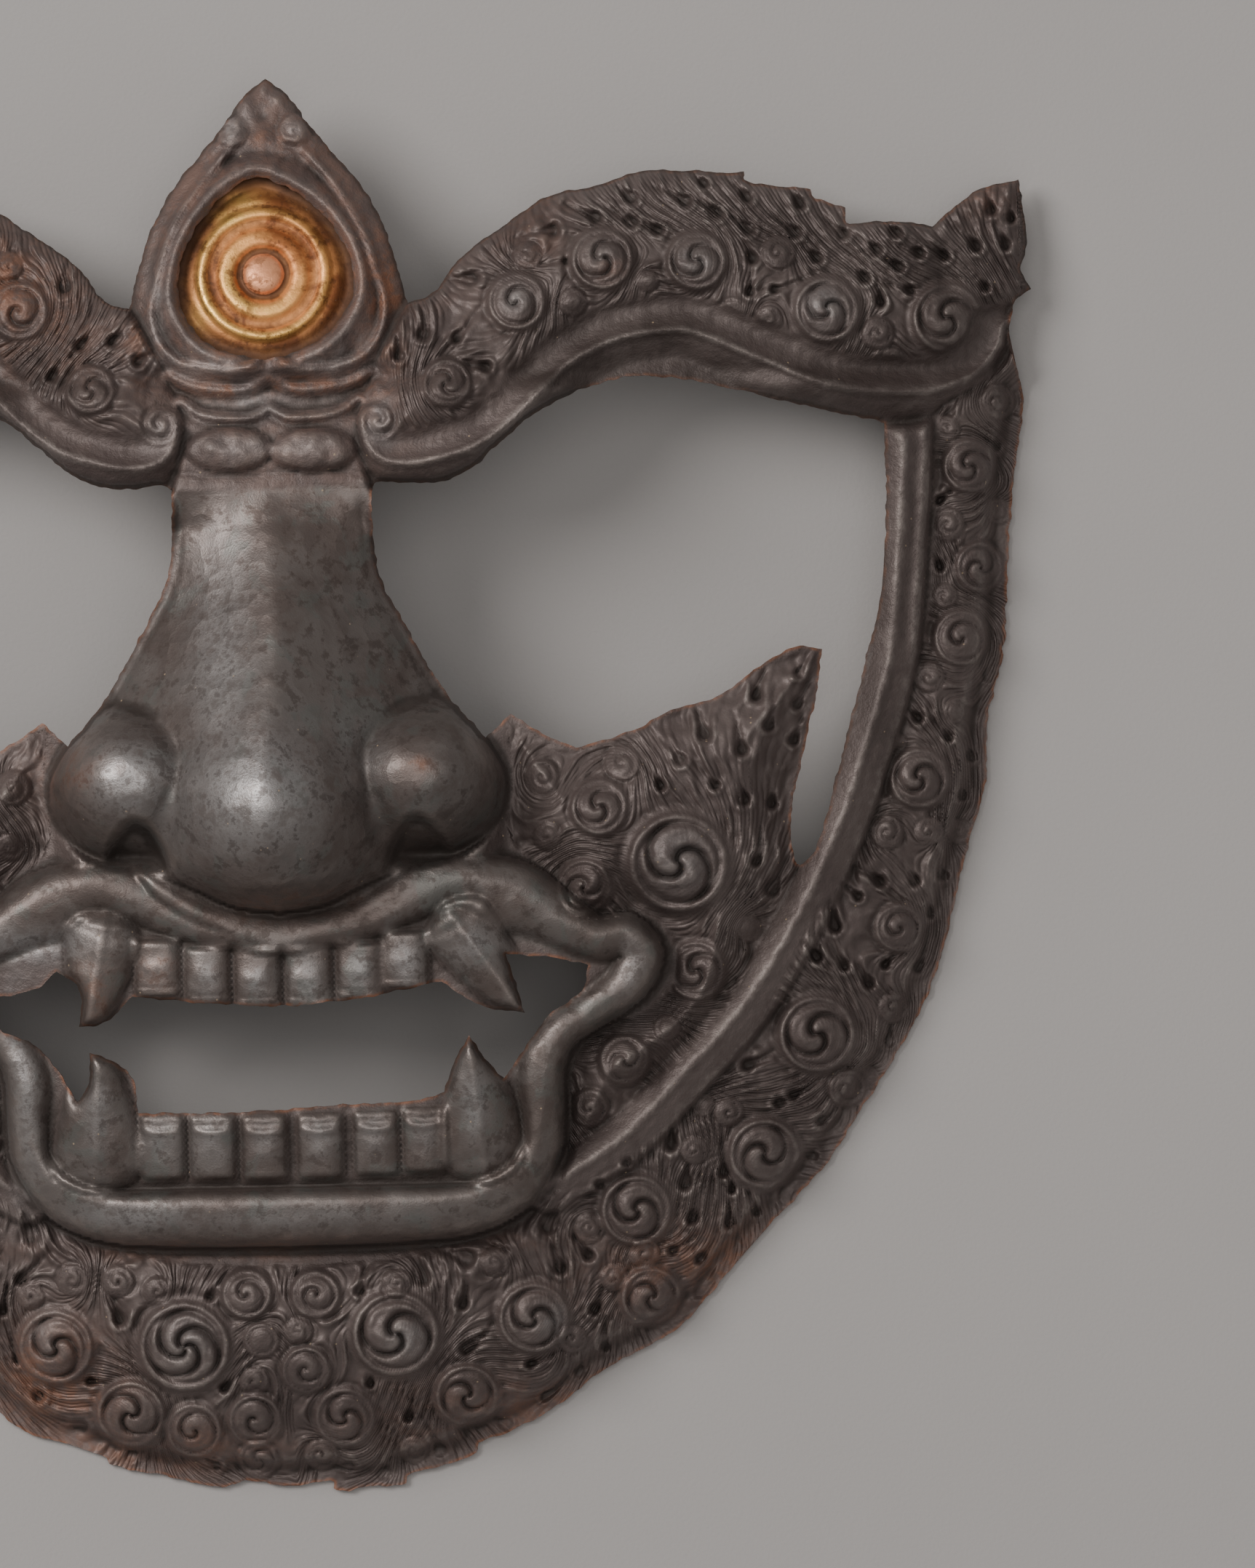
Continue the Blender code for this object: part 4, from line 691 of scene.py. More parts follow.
def leaf_height(x, y, plate, bridge):
    """The leaf of the third eye: a ridge round the lid, a step behind it and a sloping border."""
    lid = -depth_in(x, y, closed(LID, 1.5), 20.0)
    leaf = plate * smooth((y - 92.0) / 5.0)
    flange = depth_in(x, y, closed(leaf_border(), 1.5), 16.0)
    ridge = 3.0 * bell((lid - 2.4) / 1.9) + 1.4 * (1.0 - smooth((lid - 5.0) / 2.0))
    low_down = smooth((165.0 - y) / 6.0)
    ridge = ridge + low_down * (1.5 * bell((flange - 4.9) / 0.9) + 0.5 * smooth((flange - 4.2) / 0.8))
    ridge = ridge - low_down * (0.9 * bell((flange - 7.0) / 0.9) + 0.5 * bell((flange - 2.4) / 0.8))
    ridge = ridge + 1.6 * (1.0 - low_down)
    leaf_edge = smooth(flange / 4.0 + 0.25)
    height = leaf * (-1.6 + ridge + 2.4 * leaf_edge - 1.2 * smooth((lid - 8.6) / 6.0))
    for border, rise in ((LEAF_LOBES_IN, 1.5), (LEAF_LOBES_OUT, 2.3)):
        gap, _, _ = to_line(np.abs(x), y, curve(border, 1.0), 8.0)
        height = height + (rise * bell(gap / 1.2) - 0.8 * bell((gap - 2.0) / 0.9)) * bridge
    # Two scrolls under the tip
    for cx, cy, radius, turn in ((-8.7, 166.3, 3.6, 1), (7.2, 166.3, 3.6, -1)):
        d = np.hypot(x - cx, y - cy) / radius
        wind = (0.9 - d) / 0.7 + turn * np.arctan2(y - cy, x - cx) / (2 * math.pi)
        lobe = 0.35 + 0.65 * np.abs(np.sin(math.pi * wind)) ** 0.6
        height = height + 2.4 * lobe * np.sqrt(np.clip(1.0 - (d / 1.15) ** 2, 0.0, 1.0))
        height = height - 0.5 * bell((d - 1.35) / 0.2) * smooth((0.75 - (cy - y) / radius) / 0.6)
    # Knobs and dimples of the tip
    for cx, cy, rise, radius in (
        (-5.5, 173.8, 1.3, 1.9), (3.2, 174.4, 1.3, 1.8), (-0.8, 169.8, -1.4, 1.6),
        (-13.6, 161.5, 0.8, 1.6), (12.4, 161.5, 0.8, 1.6), (-0.6, 177.2, 0.8, 1.2),
    ):
        height = height + rise * bell(np.hypot(x - cx, y - cy) / radius)
    # Two crescents over the lid
    for cx in (-8.0, 6.2):
        d = np.hypot(x - cx, (y - 157.6) * 1.1)
        crescent = 0.5 * bell((d - 3.6) / 0.7) - 0.3 * bell((d - 2.4) / 0.7)
        height = height + crescent * smooth((y - 155.6) / 2.0)
    return height


def brow_height(half, y, brow, above):
    """A brow over the dome: crest, lower wall, channel, cushion for the hair and root volute."""
    lift = BROW_RISE * (1.0 - 0.35 * smooth((half - 110.0) / 75.0))
    wall = -0.8 * BROW_RISE * (np.clip(-above, 0.0, 9.0) / 8.0) ** 0.9
    channel = -2.6 * np.sin(math.pi * np.clip(above / 9.5, 0.0, 1.0))
    cushion = 3.2 * smooth((above - 7.0) / 7.0) - 6.0 * smooth((above - 20.0) / 26.0)
    body = lift + wall + channel + cushion - 3.0 * (1.0 - roll(brow / 4.0))
    body = body + 0.5 * bell(above / 0.8) - 0.45 * bell((above + 1.7) / 0.45)
    volute = np.hypot(half - 27.4, y - 92.0)
    winding = (volute - 1.0) / 3.2 - np.arctan2(y - 92.0, half - 27.4) / (2 * math.pi)
    body = body + 3.0 * bell(volute / 4.5)
    return body - 0.9 * np.cos(2 * math.pi * winding) * smooth((6.5 - volute) / 2.5)


def rolled_lips(half, y, bowl, z):
    """The height with the gums sunk inside the lips and the lips laid on, and where the lips are."""
    lips = curve(LIPS, 2.0)
    gap, _, place = to_line(half, y, lips, 18.0)
    outer, inner, rise = [np.interp(place, np.arange(len(lips)), lips[:, i]) for i in (2, 3, 4)]
    within = inside(half, y, np.array([(-1e-6, -107.4), (-1e-6, -38.5), *lips[:, :2].tolist()]))
    reach = np.where(within, inner, outer)
    bluff = 2.0 + 0.9 * smooth((-94.0 - y) / 8.0)
    lip = np.sqrt(np.clip(1.0 - np.clip(gap / reach, 0.0, 1.0) ** bluff, 0.0, 1.0))
    z = np.where(within, bowl + GUM_RISE, z)
    z = np.maximum(z, bowl + LIP_RISE * rise * lip * (gap < reach))
    z = z - 1.8 * bell((gap - reach - 1.2) / 1.3) * ~within * (y < -60.0)
    return z, smooth((1.05 - gap / reach) / 0.2)


def teeth(x, y):
    """Rounded plates that meet in a furrow, the lower ones with a hollow at the top."""
    height = np.zeros(x.shape)
    hard = np.zeros(x.shape)
    for row, tall in ((UPPER_TEETH, 8.6), (LOWER_TEETH, 9.8)):
        for x0, y0 in row:
            u, v = (x - x0) / (0.5 * TOOTH_WIDTH + 0.3), (y - y0) / tall
            across = np.sqrt(np.clip(1 - np.abs(u) ** 2.3, 0.0, 1.0))
            tooth = across * smooth((1.0 - np.abs(v)) / 0.3)
            height = height + TOOTH_RISE * tooth
            hard = np.maximum(hard, smooth(tooth * 2.0))
            core = smooth((0.9 - np.abs(u)) / 0.2)
            if row is LOWER_TEETH:
                cap = np.hypot(u / 0.72, (y - y0 - 6.4) / 1.9)
                height = height - 0.8 * smooth((1.15 - cap) / 0.5) * across
                height = height + 0.5 * bell((y - y0 - 3.6 - 1.3 * u * u) / 0.6) * core
            else:
                height = height - 0.45 * bell((y - y0 + 5.4 - 1.2 * u * u) / 0.7) * core
                height = height + 0.5 * bell(np.hypot(u, (y - y0) / 3.5) / 0.6)
    return height, hard


def fangs(x, y):
    """Fangs that stay full to the cut edge of the sheet, with a blunt ridge down the middle."""
    height = np.zeros(x.shape)
    hard = np.zeros(x.shape)
    cut = -depth_in(x, y, closed(MOUTH, 1.0), 8.0)
    for (ax, ay), (bx, by), root in FANGS:
        dx, dy = bx - ax, by - ay
        reach = math.hypot(dx, dy)
        t = ((x - ax) * dx + (y - ay) * dy) / (reach * reach)
        off = (dx * (y - ay) - dy * (x - ax)) / reach
        girth = 1.25 * root * np.clip(1.12 - 0.9 * np.clip(t, 0, 1), 0.0, 1.0) ** 0.5
        round_off = np.abs(off / girth) ** 1.7 + np.clip(-t, 0.0, 1.0) ** 2 * 14
        fang = np.clip(1.0 - round_off, 0.0, 1.0) ** 0.62
        fang = fang * roll((cut + 0.4) / 3.4) * (t < 1.1)
        height = height + 1.8 * TOOTH_RISE * fang + 0.6 * fang * bell(off / 1.4)
        line = bell((t + 0.02 + 0.1 * (off / girth) ** 2) / 0.05) * (np.abs(off) < girth)
        height = height - 0.5 * line
        hard = np.maximum(hard, smooth(fang * 2.0))
    return height, hard


def nostril_rolls(x, y):
    """The roll that runs out of each nostril and down along the lip, strong on one side."""
    height = np.zeros(x.shape)
    for path, strength in ((NOSTRIL_ROLL, 1.0), (mirrored(NOSTRIL_ROLL)[::-1], 0.15)):
        gap, _, place = to_line(x, y, curve(path, 1.0), 7.0)
        girth = np.interp(place, [0, 6, 16, 60], [2.2, 3.4, 4.2, 3.4])
        taper = strength * (1.0 - smooth((place - 18.0) / 26.0))
        height = height + 3.4 * taper * np.sqrt(np.clip(1.0 - (gap / girth) ** 2, 0.0, 1.0))
    return height


def with_nose(x, y, z):
    """The height with the nose grown out of it and the nostrils sunk in, and where the nose is."""
    nose = depth_in(x, y, nose_outline(1.5), 12.0)
    width = np.interp(y, [-32, -10, 8, 30], [9.0, 6.0, 5.0, 3.0])
    rooted = roll(nose / width) * smooth((79.0 - y) / 15.0)
    z = np.where(nose > 0, z + (nose_height(x, y) - z) * rooted, z)
    for flip, deep in ((-1, 8.0), (1, 5.0)):
        hollow = depth_in(flip * x, y, closed(NOSTRIL, 1.0), 8.0)
        z = z - deep * smooth((hollow + 0.6) / 3.4) * smooth((nose + 1.0) / 6.0)
    z = z - 0.4 * bell((nose - 2.2) / 0.5) * (y > 10.0) * smooth((74.0 - y) / 5.0)
    return z, smooth(nose / 2.0)


def relief(x, y):
    """Height of the front of the sheet and, for the finish, hair, strands and smooth metal."""
    order = np.argsort(y, kind="stable")
    x, y = x[order], y[order]
    half = np.abs(x)
    bowl = dome(x, y)
    brow = depth_in(half, y, brow_outline(1.5), 10.0)
    on_brow = smooth(brow / 2.4 + 0.5)

    # Flame band and beard outside the mouldings
    gap, _, _ = to_line(half, y, curve(BAND_OUTER_EDGE, 1.5), 14.0)
    outside = ~inside(half, y, inside_moulding(1.5))
    to_band = np.where(outside, gap, -gap)
    edge = np.abs(depth_in(x, y, mask_outline(2.0), 14.0))
    on_rim = smooth((110.0 - y) / 20.0) * (1.0 - smooth((edge - RIM_LAND) / RIM_FLARE))
    swelling = smooth(to_band / 7.0) * (0.2 + 0.8 * smooth(edge / 12.0))
    z = bowl + HAIR_RISE * swelling * (1.0 - on_brow)
    z = z + 6.0 * bell(x / 60.0) * bell((y + 143.0) / 20.0) * smooth(to_band / 2.0)

    # Cheek cushions and mouldings
    cheek = depth_in(half, y, closed(CHEEK_HAIR, 1.5), 18.0)
    z = z + CHEEK_RISE * smooth(cheek / 16.0) * (cheek > 0)
    z = z + mouldings(half, y, brow)

    # Flat plate between the eyes that carries bridge and leaf
    bridge = smooth((30.0 - half) / 6.0)
    plate = smooth((y - 61.0) / 8.0) * np.maximum(bridge, smooth((y - 98.0) / 6.0))
    z = z + (LEAF_RISE - 1.0) * plate
    z = z + bridge_bulges(x, y, bridge)
    z = z + leaf_height(x, y, plate, bridge)

    # Brows, over the plate where they meet it
    above = above_crest(half, y)
    z = z + (brow_height(half, y, brow, above) - LEAF_RISE * plate) * on_brow

    # Shoulder between nose and upper lip, then mouth and nose
    shoulder = smooth((58.0 - half) / 9.0) * smooth((2.0 - y) / 8.0) * smooth((y + 52.0) / 10.0)
    z = soft_max(z, bowl + 8.4 * shoulder, 1.2)
    z, on_lip = rolled_lips(half, y, bowl, z)
    rows, hard_rows = teeth(x, y)
    points, hard_points = fangs(x, y)
    z = z + rows + points + nostril_rolls(x, y)
    z, on_nose = with_nose(x, y, z)

    # Hammered unevenness of the plain metal
    plain = np.clip(on_nose + on_lip + np.maximum(hard_rows, hard_points), 0.0, 1.0)
    z = z + 0.13 * ripple(x, y, 7.0, 41) + 0.2 * ripple(x, y, 19.0, 42) * (1 - plain * 0.4)
    z = z + 0.12 * ripple(x, y, 3.2, 43) * (1.0 - plain)

    # Hair, laid flatter at the cut edges of sheet and eye gaps
    hair_brow = smooth((above - 8.2) / 1.4) * smooth(brow / 2.0 + 0.5)
    hair_band = smooth((to_band - 0.6) / 1.6) * (1.0 - smooth(brow / 2.0 + 0.5))
    hair = np.clip(hair_brow + smooth(cheek / 2.0) + hair_band, 0.0, 1.0)
    flow = hair_flow(x, y)
    whorl, core = whorls(x, y)
    chased = whorl + (locks(x, y, flow) + punched(x, y)) * (1.0 - core)
    near_cut = edge
    for hole in openings(1.5)[:2]:
        near_cut = np.minimum(near_cut, np.abs(depth_in(x, y, hole, 4.0)))
    chased = chased * (0.3 + 0.7 * smooth(near_cut / 2.4))

    # The rim of jaw and temples is beaten down onto the plane that the mask lies on
    z = z * (1.0 - on_rim) + SHEET * 1.3 * on_rim + hair * chased * (1.0 - 0.35 * on_rim)
    back = np.argsort(order)
    looks = {"strands": flow, "hair": hair * (1.0 - 0.8 * core), "smooth_metal": plain}
    return z[back], {name: values[back] for name, values in looks.items()}


def inside_sheet(points, loops, margin):
    """True for the points on the sheet that lie further than margin from its edges."""
    order = np.argsort(points[:, 1], kind="stable")
    x, y = points[order].T
    keep = inside(x, y, loops[0])
    for hole in loops[1:]:
        keep &= ~inside(x, y, hole)
    if margin:
        for loop in loops:
            keep &= to_line(x, y, np.concatenate([loop, loop[:1]]), margin)[0] >= margin
    kept = np.empty(len(points), bool)
    kept[order] = keep
    return kept


def finish_zones(x, y):
    """2 where the sheet carries hair, 1 where it is carved, 0 on plain metal. Sorted by y."""
    half = np.abs(x)
    hair = ~inside(half, y, inside_moulding(3.0)) | inside(half, y, closed(CHEEK_HAIR, 3.0))
    brow = inside(half, y, brow_outline(3.0))
    hair |= brow & (above_crest(half, y) > 5.0)
    nose = depth_in(x, y, nose_outline(3.0), 8.0)
    back_of_nose = (nose > 5.0) & (y > 18.0)
    return np.where(hair, 2, np.where(back_of_nose, 0, 1))


def net_points(loops, coarser):
    """Points that fill the sheet, close together where it is carved finely."""
    nets = []
    for zone, step in ((2, HAIR_STEP), (1, CARVED_STEP), (0, PLAIN_STEP)):
        step = step * coarser
        rows = np.arange(loops[0][:, 1].min(), loops[0][:, 1].max(), step * math.sqrt(0.75))
        columns = np.arange(-200.0, 200.0, step)
        shift = (np.arange(len(rows)) % 2)[:, None] * step / 2
        net = np.column_stack([
            (columns[None, :] + shift).ravel(), np.repeat(rows, len(columns))
        ])
        net = net[finish_zones(net[:, 0], net[:, 1]) == zone]
        nets.append(net[inside_sheet(net, loops, 0.55 * step)])
    return np.concatenate(nets)


def triangulate(loops, inner):
    """Triangles of the area between the loops, with the loops as their edges."""
    points = [Vector(p) for p in np.concatenate([*loops, inner])]
    edges = []
    start = 0
    for loop in loops:
        count = len(loop)
        edges += [(start + i, start + (i + 1) % count) for i in range(count)]
        start += count
    verts, _, faces, *_ = delaunay_2d_cdt(points, edges, [], 0, 1e-6)
    flat = np.array([tuple(v) for v in verts])
    faces = np.array(faces)
    return flat, faces[inside_sheet(flat[faces].mean(axis=1), loops, 0.0)]


def face_normals(points, faces):
    """One normal a triangle, twice as long as its area."""
    a, b, c = points[faces[:, 0]], points[faces[:, 1]], points[faces[:, 2]]
    return np.cross(b - a, c - a)


def corner_sums(faces, values, count):
    """The sum of the faces' values at every corner."""
    total = np.zeros((count, values.shape[1]))
    for corner in range(3):
        for axis in range(values.shape[1]):
            total[:, axis] += np.bincount(faces[:, corner], values[:, axis], count)
    return total


def corner_normals(points, faces):
    """The evened normal at every corner, of length 1."""
    total = corner_sums(faces, face_normals(points, faces), len(points))
    return total / np.maximum(np.linalg.norm(total, axis=1), 1e-12)[:, None]


def steepness(points, faces):
    """For each corner, the least upright facet that meets there: 1 is level, 0 is a wall."""
    normal = face_normals(points, faces)
    upright = np.abs(normal[:, 2]) / np.maximum(np.linalg.norm(normal, axis=1), 1e-12)
    least = np.ones(len(points))
    for corner in range(3):
        np.minimum.at(least, faces[:, corner], upright)
    return least


def stands_proud(height, faces, rounds):
    """How far each corner stands over its neighbourhood, in millimetres."""
    count = len(height)
    soft = height.copy()
    shares = np.maximum(corner_sums(faces, np.ones((len(faces), 1)), count)[:, 0], 1.0)
    for _ in range(rounds):
        middle = soft[faces].mean(axis=1)[:, None]
        soft = corner_sums(faces, middle, count)[:, 0] / shares
    return height - soft


def evened(drop, loops):
    """The drop of the back with its jumps along the cut edges smoothed away."""
    drop = drop.copy()
    weight = bell(np.arange(-9, 10) / 5.0)
    start = 0
    for loop in loops:
        part = drop[start:start + len(loop)]
        around = np.concatenate([part[-9:], part, part[:9]])
        drop[start:start + len(loop)] = np.convolve(around, weight / weight.sum(), "valid")
        start += len(loop)
    return drop


def edge_distance(flat, loops):
    """Distance to the nearest cut edge, up to EDGE_REACH."""
    order = np.argsort(flat[:, 1], kind="stable")
    x, y = flat[order].T
    best = np.full(len(flat), EDGE_REACH)
    for loop in loops:
        around = np.concatenate([loop, loop[:1]])
        best = np.minimum(best, to_line(x, y, around, EDGE_REACH)[0])
    found = np.empty(len(flat))
    found[order] = best
    return found


def patches(x, y, spots):
    """Soft-edged oval patches: x, y, reach along x, reach along y and strength."""
    total = np.zeros(x.shape)
    for cx, cy, wide, tall, strength in spots:
        total = np.maximum(total, strength * bell(np.hypot((x - cx) / wide, (y - cy) / tall)))
    return total


def piece_of(x, y):
    """0 crown, 1 face, 2 side bands, 3 beard."""
    order = np.argsort(y, kind="stable")
    half, row = np.abs(x[order]), y[order]
    crown = inside(half, row, brow_outline(1.5)) | ((half < 35.0) & (row > 78.0))
    outside = ~inside(half, row, inside_moulding(1.5))
    number = np.where(crown, 0, np.where(~outside, 1, np.where(row > -19.0, 2, 3)))
    found = np.empty(len(x), int)
    found[order] = number
    return found


def add_mesh(name, points, faces, normals, looks, material):
    """A mesh object in metres with its own corner normals and one number per point for each look."""
    used, inverse = np.unique(faces, return_inverse=True)
    faces = inverse.reshape(faces.shape)
    mesh = bpy.data.meshes.new(name)
    mesh.vertices.add(len(used))
    mesh.vertices.foreach_set("co", (points[used] / 1000.0).astype(np.float32).ravel())
    mesh.loops.add(faces.size)
    mesh.loops.foreach_set("vertex_index", faces.astype(np.int32).ravel())
    mesh.polygons.add(len(faces))
    mesh.polygons.foreach_set("loop_start", np.arange(0, faces.size, 3, dtype=np.int32))
    mesh.update(calc_edges=True)
    mesh.shade_smooth()
    mesh.normals_split_custom_set(normals.reshape(-1, 3).tolist())
    for label, values in looks.items():
        mesh.attributes.new(label, "FLOAT", "POINT").data.foreach_set(
            "value", values[used].astype(np.float32)
        )
    mesh.materials.append(material)
    piece = bpy.data.objects.new(name, mesh)
    bpy.context.scene.collection.objects.link(piece)
    print(name, len(faces), "triangles")
    return piece


def rim_walls(loops, shift):
    """Two triangles a side that close the front to the back, shift numbers further on."""
    walls = []
    start = 0
    for loop in loops:
        here = start + np.arange(len(loop))
        after = start + (np.arange(len(loop)) + 1) % len(loop)
        turned = np.sum(loop[:, 0] * np.roll(loop[:, 1], -1) - np.roll(loop[:, 0], -1) * loop[:, 1])
        outer = start == 0
        if (turned > 0) != outer:
            here, after = after, here
        walls.append(np.column_stack([here, here + shift, after]))
        walls.append(np.column_stack([after, here + shift, after + shift]))
        start += len(loop)
    return np.concatenate(walls)


def make_mask(material):
    """The four pieces of the copper sheet: front, back and cut edge."""
    coarser = 1.0
    step = EDGE_STEP * coarser
    loops = [torn(loop, 0.22) for loop in [mask_outline(step), *openings(step)]]
    low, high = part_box("mask_body")
    sides = []
    for part, wider in (("front", 1.0), ("back", BACK_COARSER)):
        flat, faces = triangulate(loops, net_points(loops, coarser * wider))
        height, looks = relief(flat[:, 0], flat[:, 1])
        points = np.column_stack([flat, np.maximum(height, SHEET)])
        if part == "back":
            drop = evened(SHEET / np.maximum(steepness(points, faces), 0.35), loops)
            points[:, 2] = np.maximum(points[:, 2] - drop, 0.0)
        points[:, 2] = np.minimum(points[:, 2], high.z * 1000.0 - 0.02)
        looks["proud"] = stands_proud(points[:, 2], faces, 12)
        looks["edge"] = edge_distance(flat, loops)
        # Patches of reddening, of painted highlight (partly scuffs) and of painted shade (partly darker
        # patina)
        for label, spots in (("highlight_and_scuff", PAINTED_HIGHLIGHTS_AND_SCUFFS), ("reddened", REDDENED), ("painted_shade", PAINTED_SHADE_PATCHES)):
            looks[label] = patches(flat[:, 0], flat[:, 1], spots)
        if part == "back":
            faces = faces[:, ::-1]
            for label in ("hair", "highlight_and_scuff", "smooth_metal"):
                looks[label] = looks[label] * 0.0
            looks["proud"] = -looks["proud"]
        sides.append((flat, faces, points, looks))
    (flat, front, top, top_looks), (back_flat, back, under, under_looks) = sides
    count = len(top)
    walls = rim_walls(loops, count)
    # the walls name the loops of the back by the same numbers, moved on by the front's count
    points = np.concatenate([top, under])
    looks = {name: np.concatenate([top_looks[name], under_looks[name]]) for name in top_looks}
    faces = np.concatenate([front, back + count, walls])
    soft = np.concatenate([corner_normals(top, front), corner_normals(under, back)])
    normals = soft[faces]
    flat_walls = face_normals(points, walls)
    flat_walls /= np.maximum(np.linalg.norm(flat_walls, axis=1), 1e-12)[:, None]
    normals[len(front) + len(back):] = flat_walls[:, None, :]
    points[:, 1] -= outline_middle()
    points[:, 0] = np.clip(points[:, 0], low.x * 1000.0, high.x * 1000.0)
    points[:, 1] = np.clip(points[:, 1], low.y * 1000.0, high.y * 1000.0)
    centre = np.concatenate([flat, back_flat])[faces].mean(axis=1)
    number = piece_of(centre[:, 0], centre[:, 1])
    for value, name in enumerate(("crown", "face", "side_bands", "beard")):
        chosen = number == value
        piece = add_mesh(name, points, faces[chosen], normals[chosen], looks, material)
        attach(piece, "root")
        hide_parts("mask_body")


def eye_height(x, y, lid_depth):
    """The disc follows the leaf's slope one clearance behind it and carries rings round a boss."""
    x0, y0 = EYE_CENTRE
    d = np.hypot(x - x0, y - y0)
    boss = 2.6 * np.sqrt(np.clip(1.0 - (d / 5.3) ** 2, 0.0, 1.0)) - 0.4 * bell((d - 6.0) / 0.7)
    ring = 1.4 * np.exp(-(((d - 9.3) / 2.3) ** 4))
    outer = 1.2 * np.exp(-(((d - 15.7) / 1.5) ** 4)) - 0.3 * bell((d - 16.6) / 0.28)
    lines = -0.3 * bell((d - 17.6) / 0.3)
    profile = boss + ring + outer + lines - 1.6 * smooth((d - 18.5) / 4.0)
    swell = 1.6 * smooth(lid_depth / 6.0)
    sunk = SHEET + EYE_CLEARANCE + 0.9
    edge = dome(x, y) + LEAF_RISE + 1.8 - sunk - 0.5
    return edge + (profile + swell) * smooth(lid_depth / 3.0)


def make_eye(material):
    """The gilt disc behind the lid opening, a ringed plate of even thickness."""
    lid = closed(LID, 1.2)
    along = np.roll(lid, -1, axis=0) - np.roll(lid, 1, axis=0)
    along /= np.linalg.norm(along, axis=1)[:, None]
    rim = lid + np.column_stack([along[:, 1], -along[:, 0]]) * EYE_LAP
    x0, y0 = EYE_CENTRE
    rings = [np.array([[x0, y0]])]
    for reach in np.arange(0.6, 30.0, 0.6):
        count = max(8, round(2 * math.pi * reach / 0.7))
        turn = 2 * math.pi * np.arange(count) / count
        rings.append(np.column_stack([x0 + reach * np.cos(turn), y0 + reach * np.sin(turn)]))
    inner = np.concatenate(rings)
    inner = inner[inside_sheet(inner, [rim], 0.4)]
    flat, faces = triangulate([rim], inner)
    order = np.argsort(flat[:, 1], kind="stable")
    depth = np.empty(len(flat))
    depth[order] = depth_in(flat[order, 0], flat[order, 1], lid, 10.0)
    height = eye_height(flat[:, 0], flat[:, 1], depth)
    uneven = 0.05 * ripple(flat[:, 0], flat[:, 1], 6.0, 51) * smooth(depth / 3.0)
    top = np.column_stack([flat, height + uneven])
    under = top - np.array([0.0, 0.0, EYE_SHEET])
    count = len(top)
    walls = rim_walls([rim], count)
    low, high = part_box("gilt_third_eye")
    points = np.concatenate([top, under])
    normals = np.concatenate([corner_normals(top, faces), -corner_normals(top, faces)])
    everything = np.concatenate([faces, faces[:, ::-1] + count, walls])
    corner = normals[everything]
    sides = face_normals(points, walls)
    corner[2 * len(faces):] = (sides / np.linalg.norm(sides, axis=1)[:, None])[:, None, :]
    reach = np.hypot(flat[:, 0] - x0, flat[:, 1] - y0)
    bearing = np.arctan2(flat[:, 1] - y0, flat[:, 0] - x0)
    gilded = bell((reach - 15.9) / 1.2) * (0.6 + 0.3 * np.cos(bearing + 2.4))
    gilded = gilded + bell((reach - 9.4) / 1.6) * (0.4 + 0.35 * np.cos(bearing + 2.3))
    streaks = [(-6.5, 148.5, 5, 2.4, 0.8), (-10, 144.5, 4, 2.4, 0.7), (-17.5, 119, 3, 5, 0.5)]
    gilded = gilded + patches(flat[:, 0], flat[:, 1], streaks)
    looks = {
        "proud": stands_proud(top[:, 2], faces, 10),
        "gold": np.clip(gilded, 0.0, 1.0),
        "boss": smooth((6.0 - reach) / 0.8),
        # Painted shade: darker within 7 mm of the lid edge, less over the gilding
        "shade": smooth((7.0 - depth) / 7.0) * (0.95 - 0.7 * np.clip(gilded, 0.0, 1.0)),
    }
    looks = {name: np.concatenate([values, values]) for name, values in looks.items()}
    points[:, 1] -= outline_middle()
    points = np.clip(points, np.array(low) * 1000.0, np.array(high) * 1000.0)
    piece = add_mesh("third_eye", points, everything, corner, looks, material)
    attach(piece, "root")
    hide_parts("gilt_third_eye")


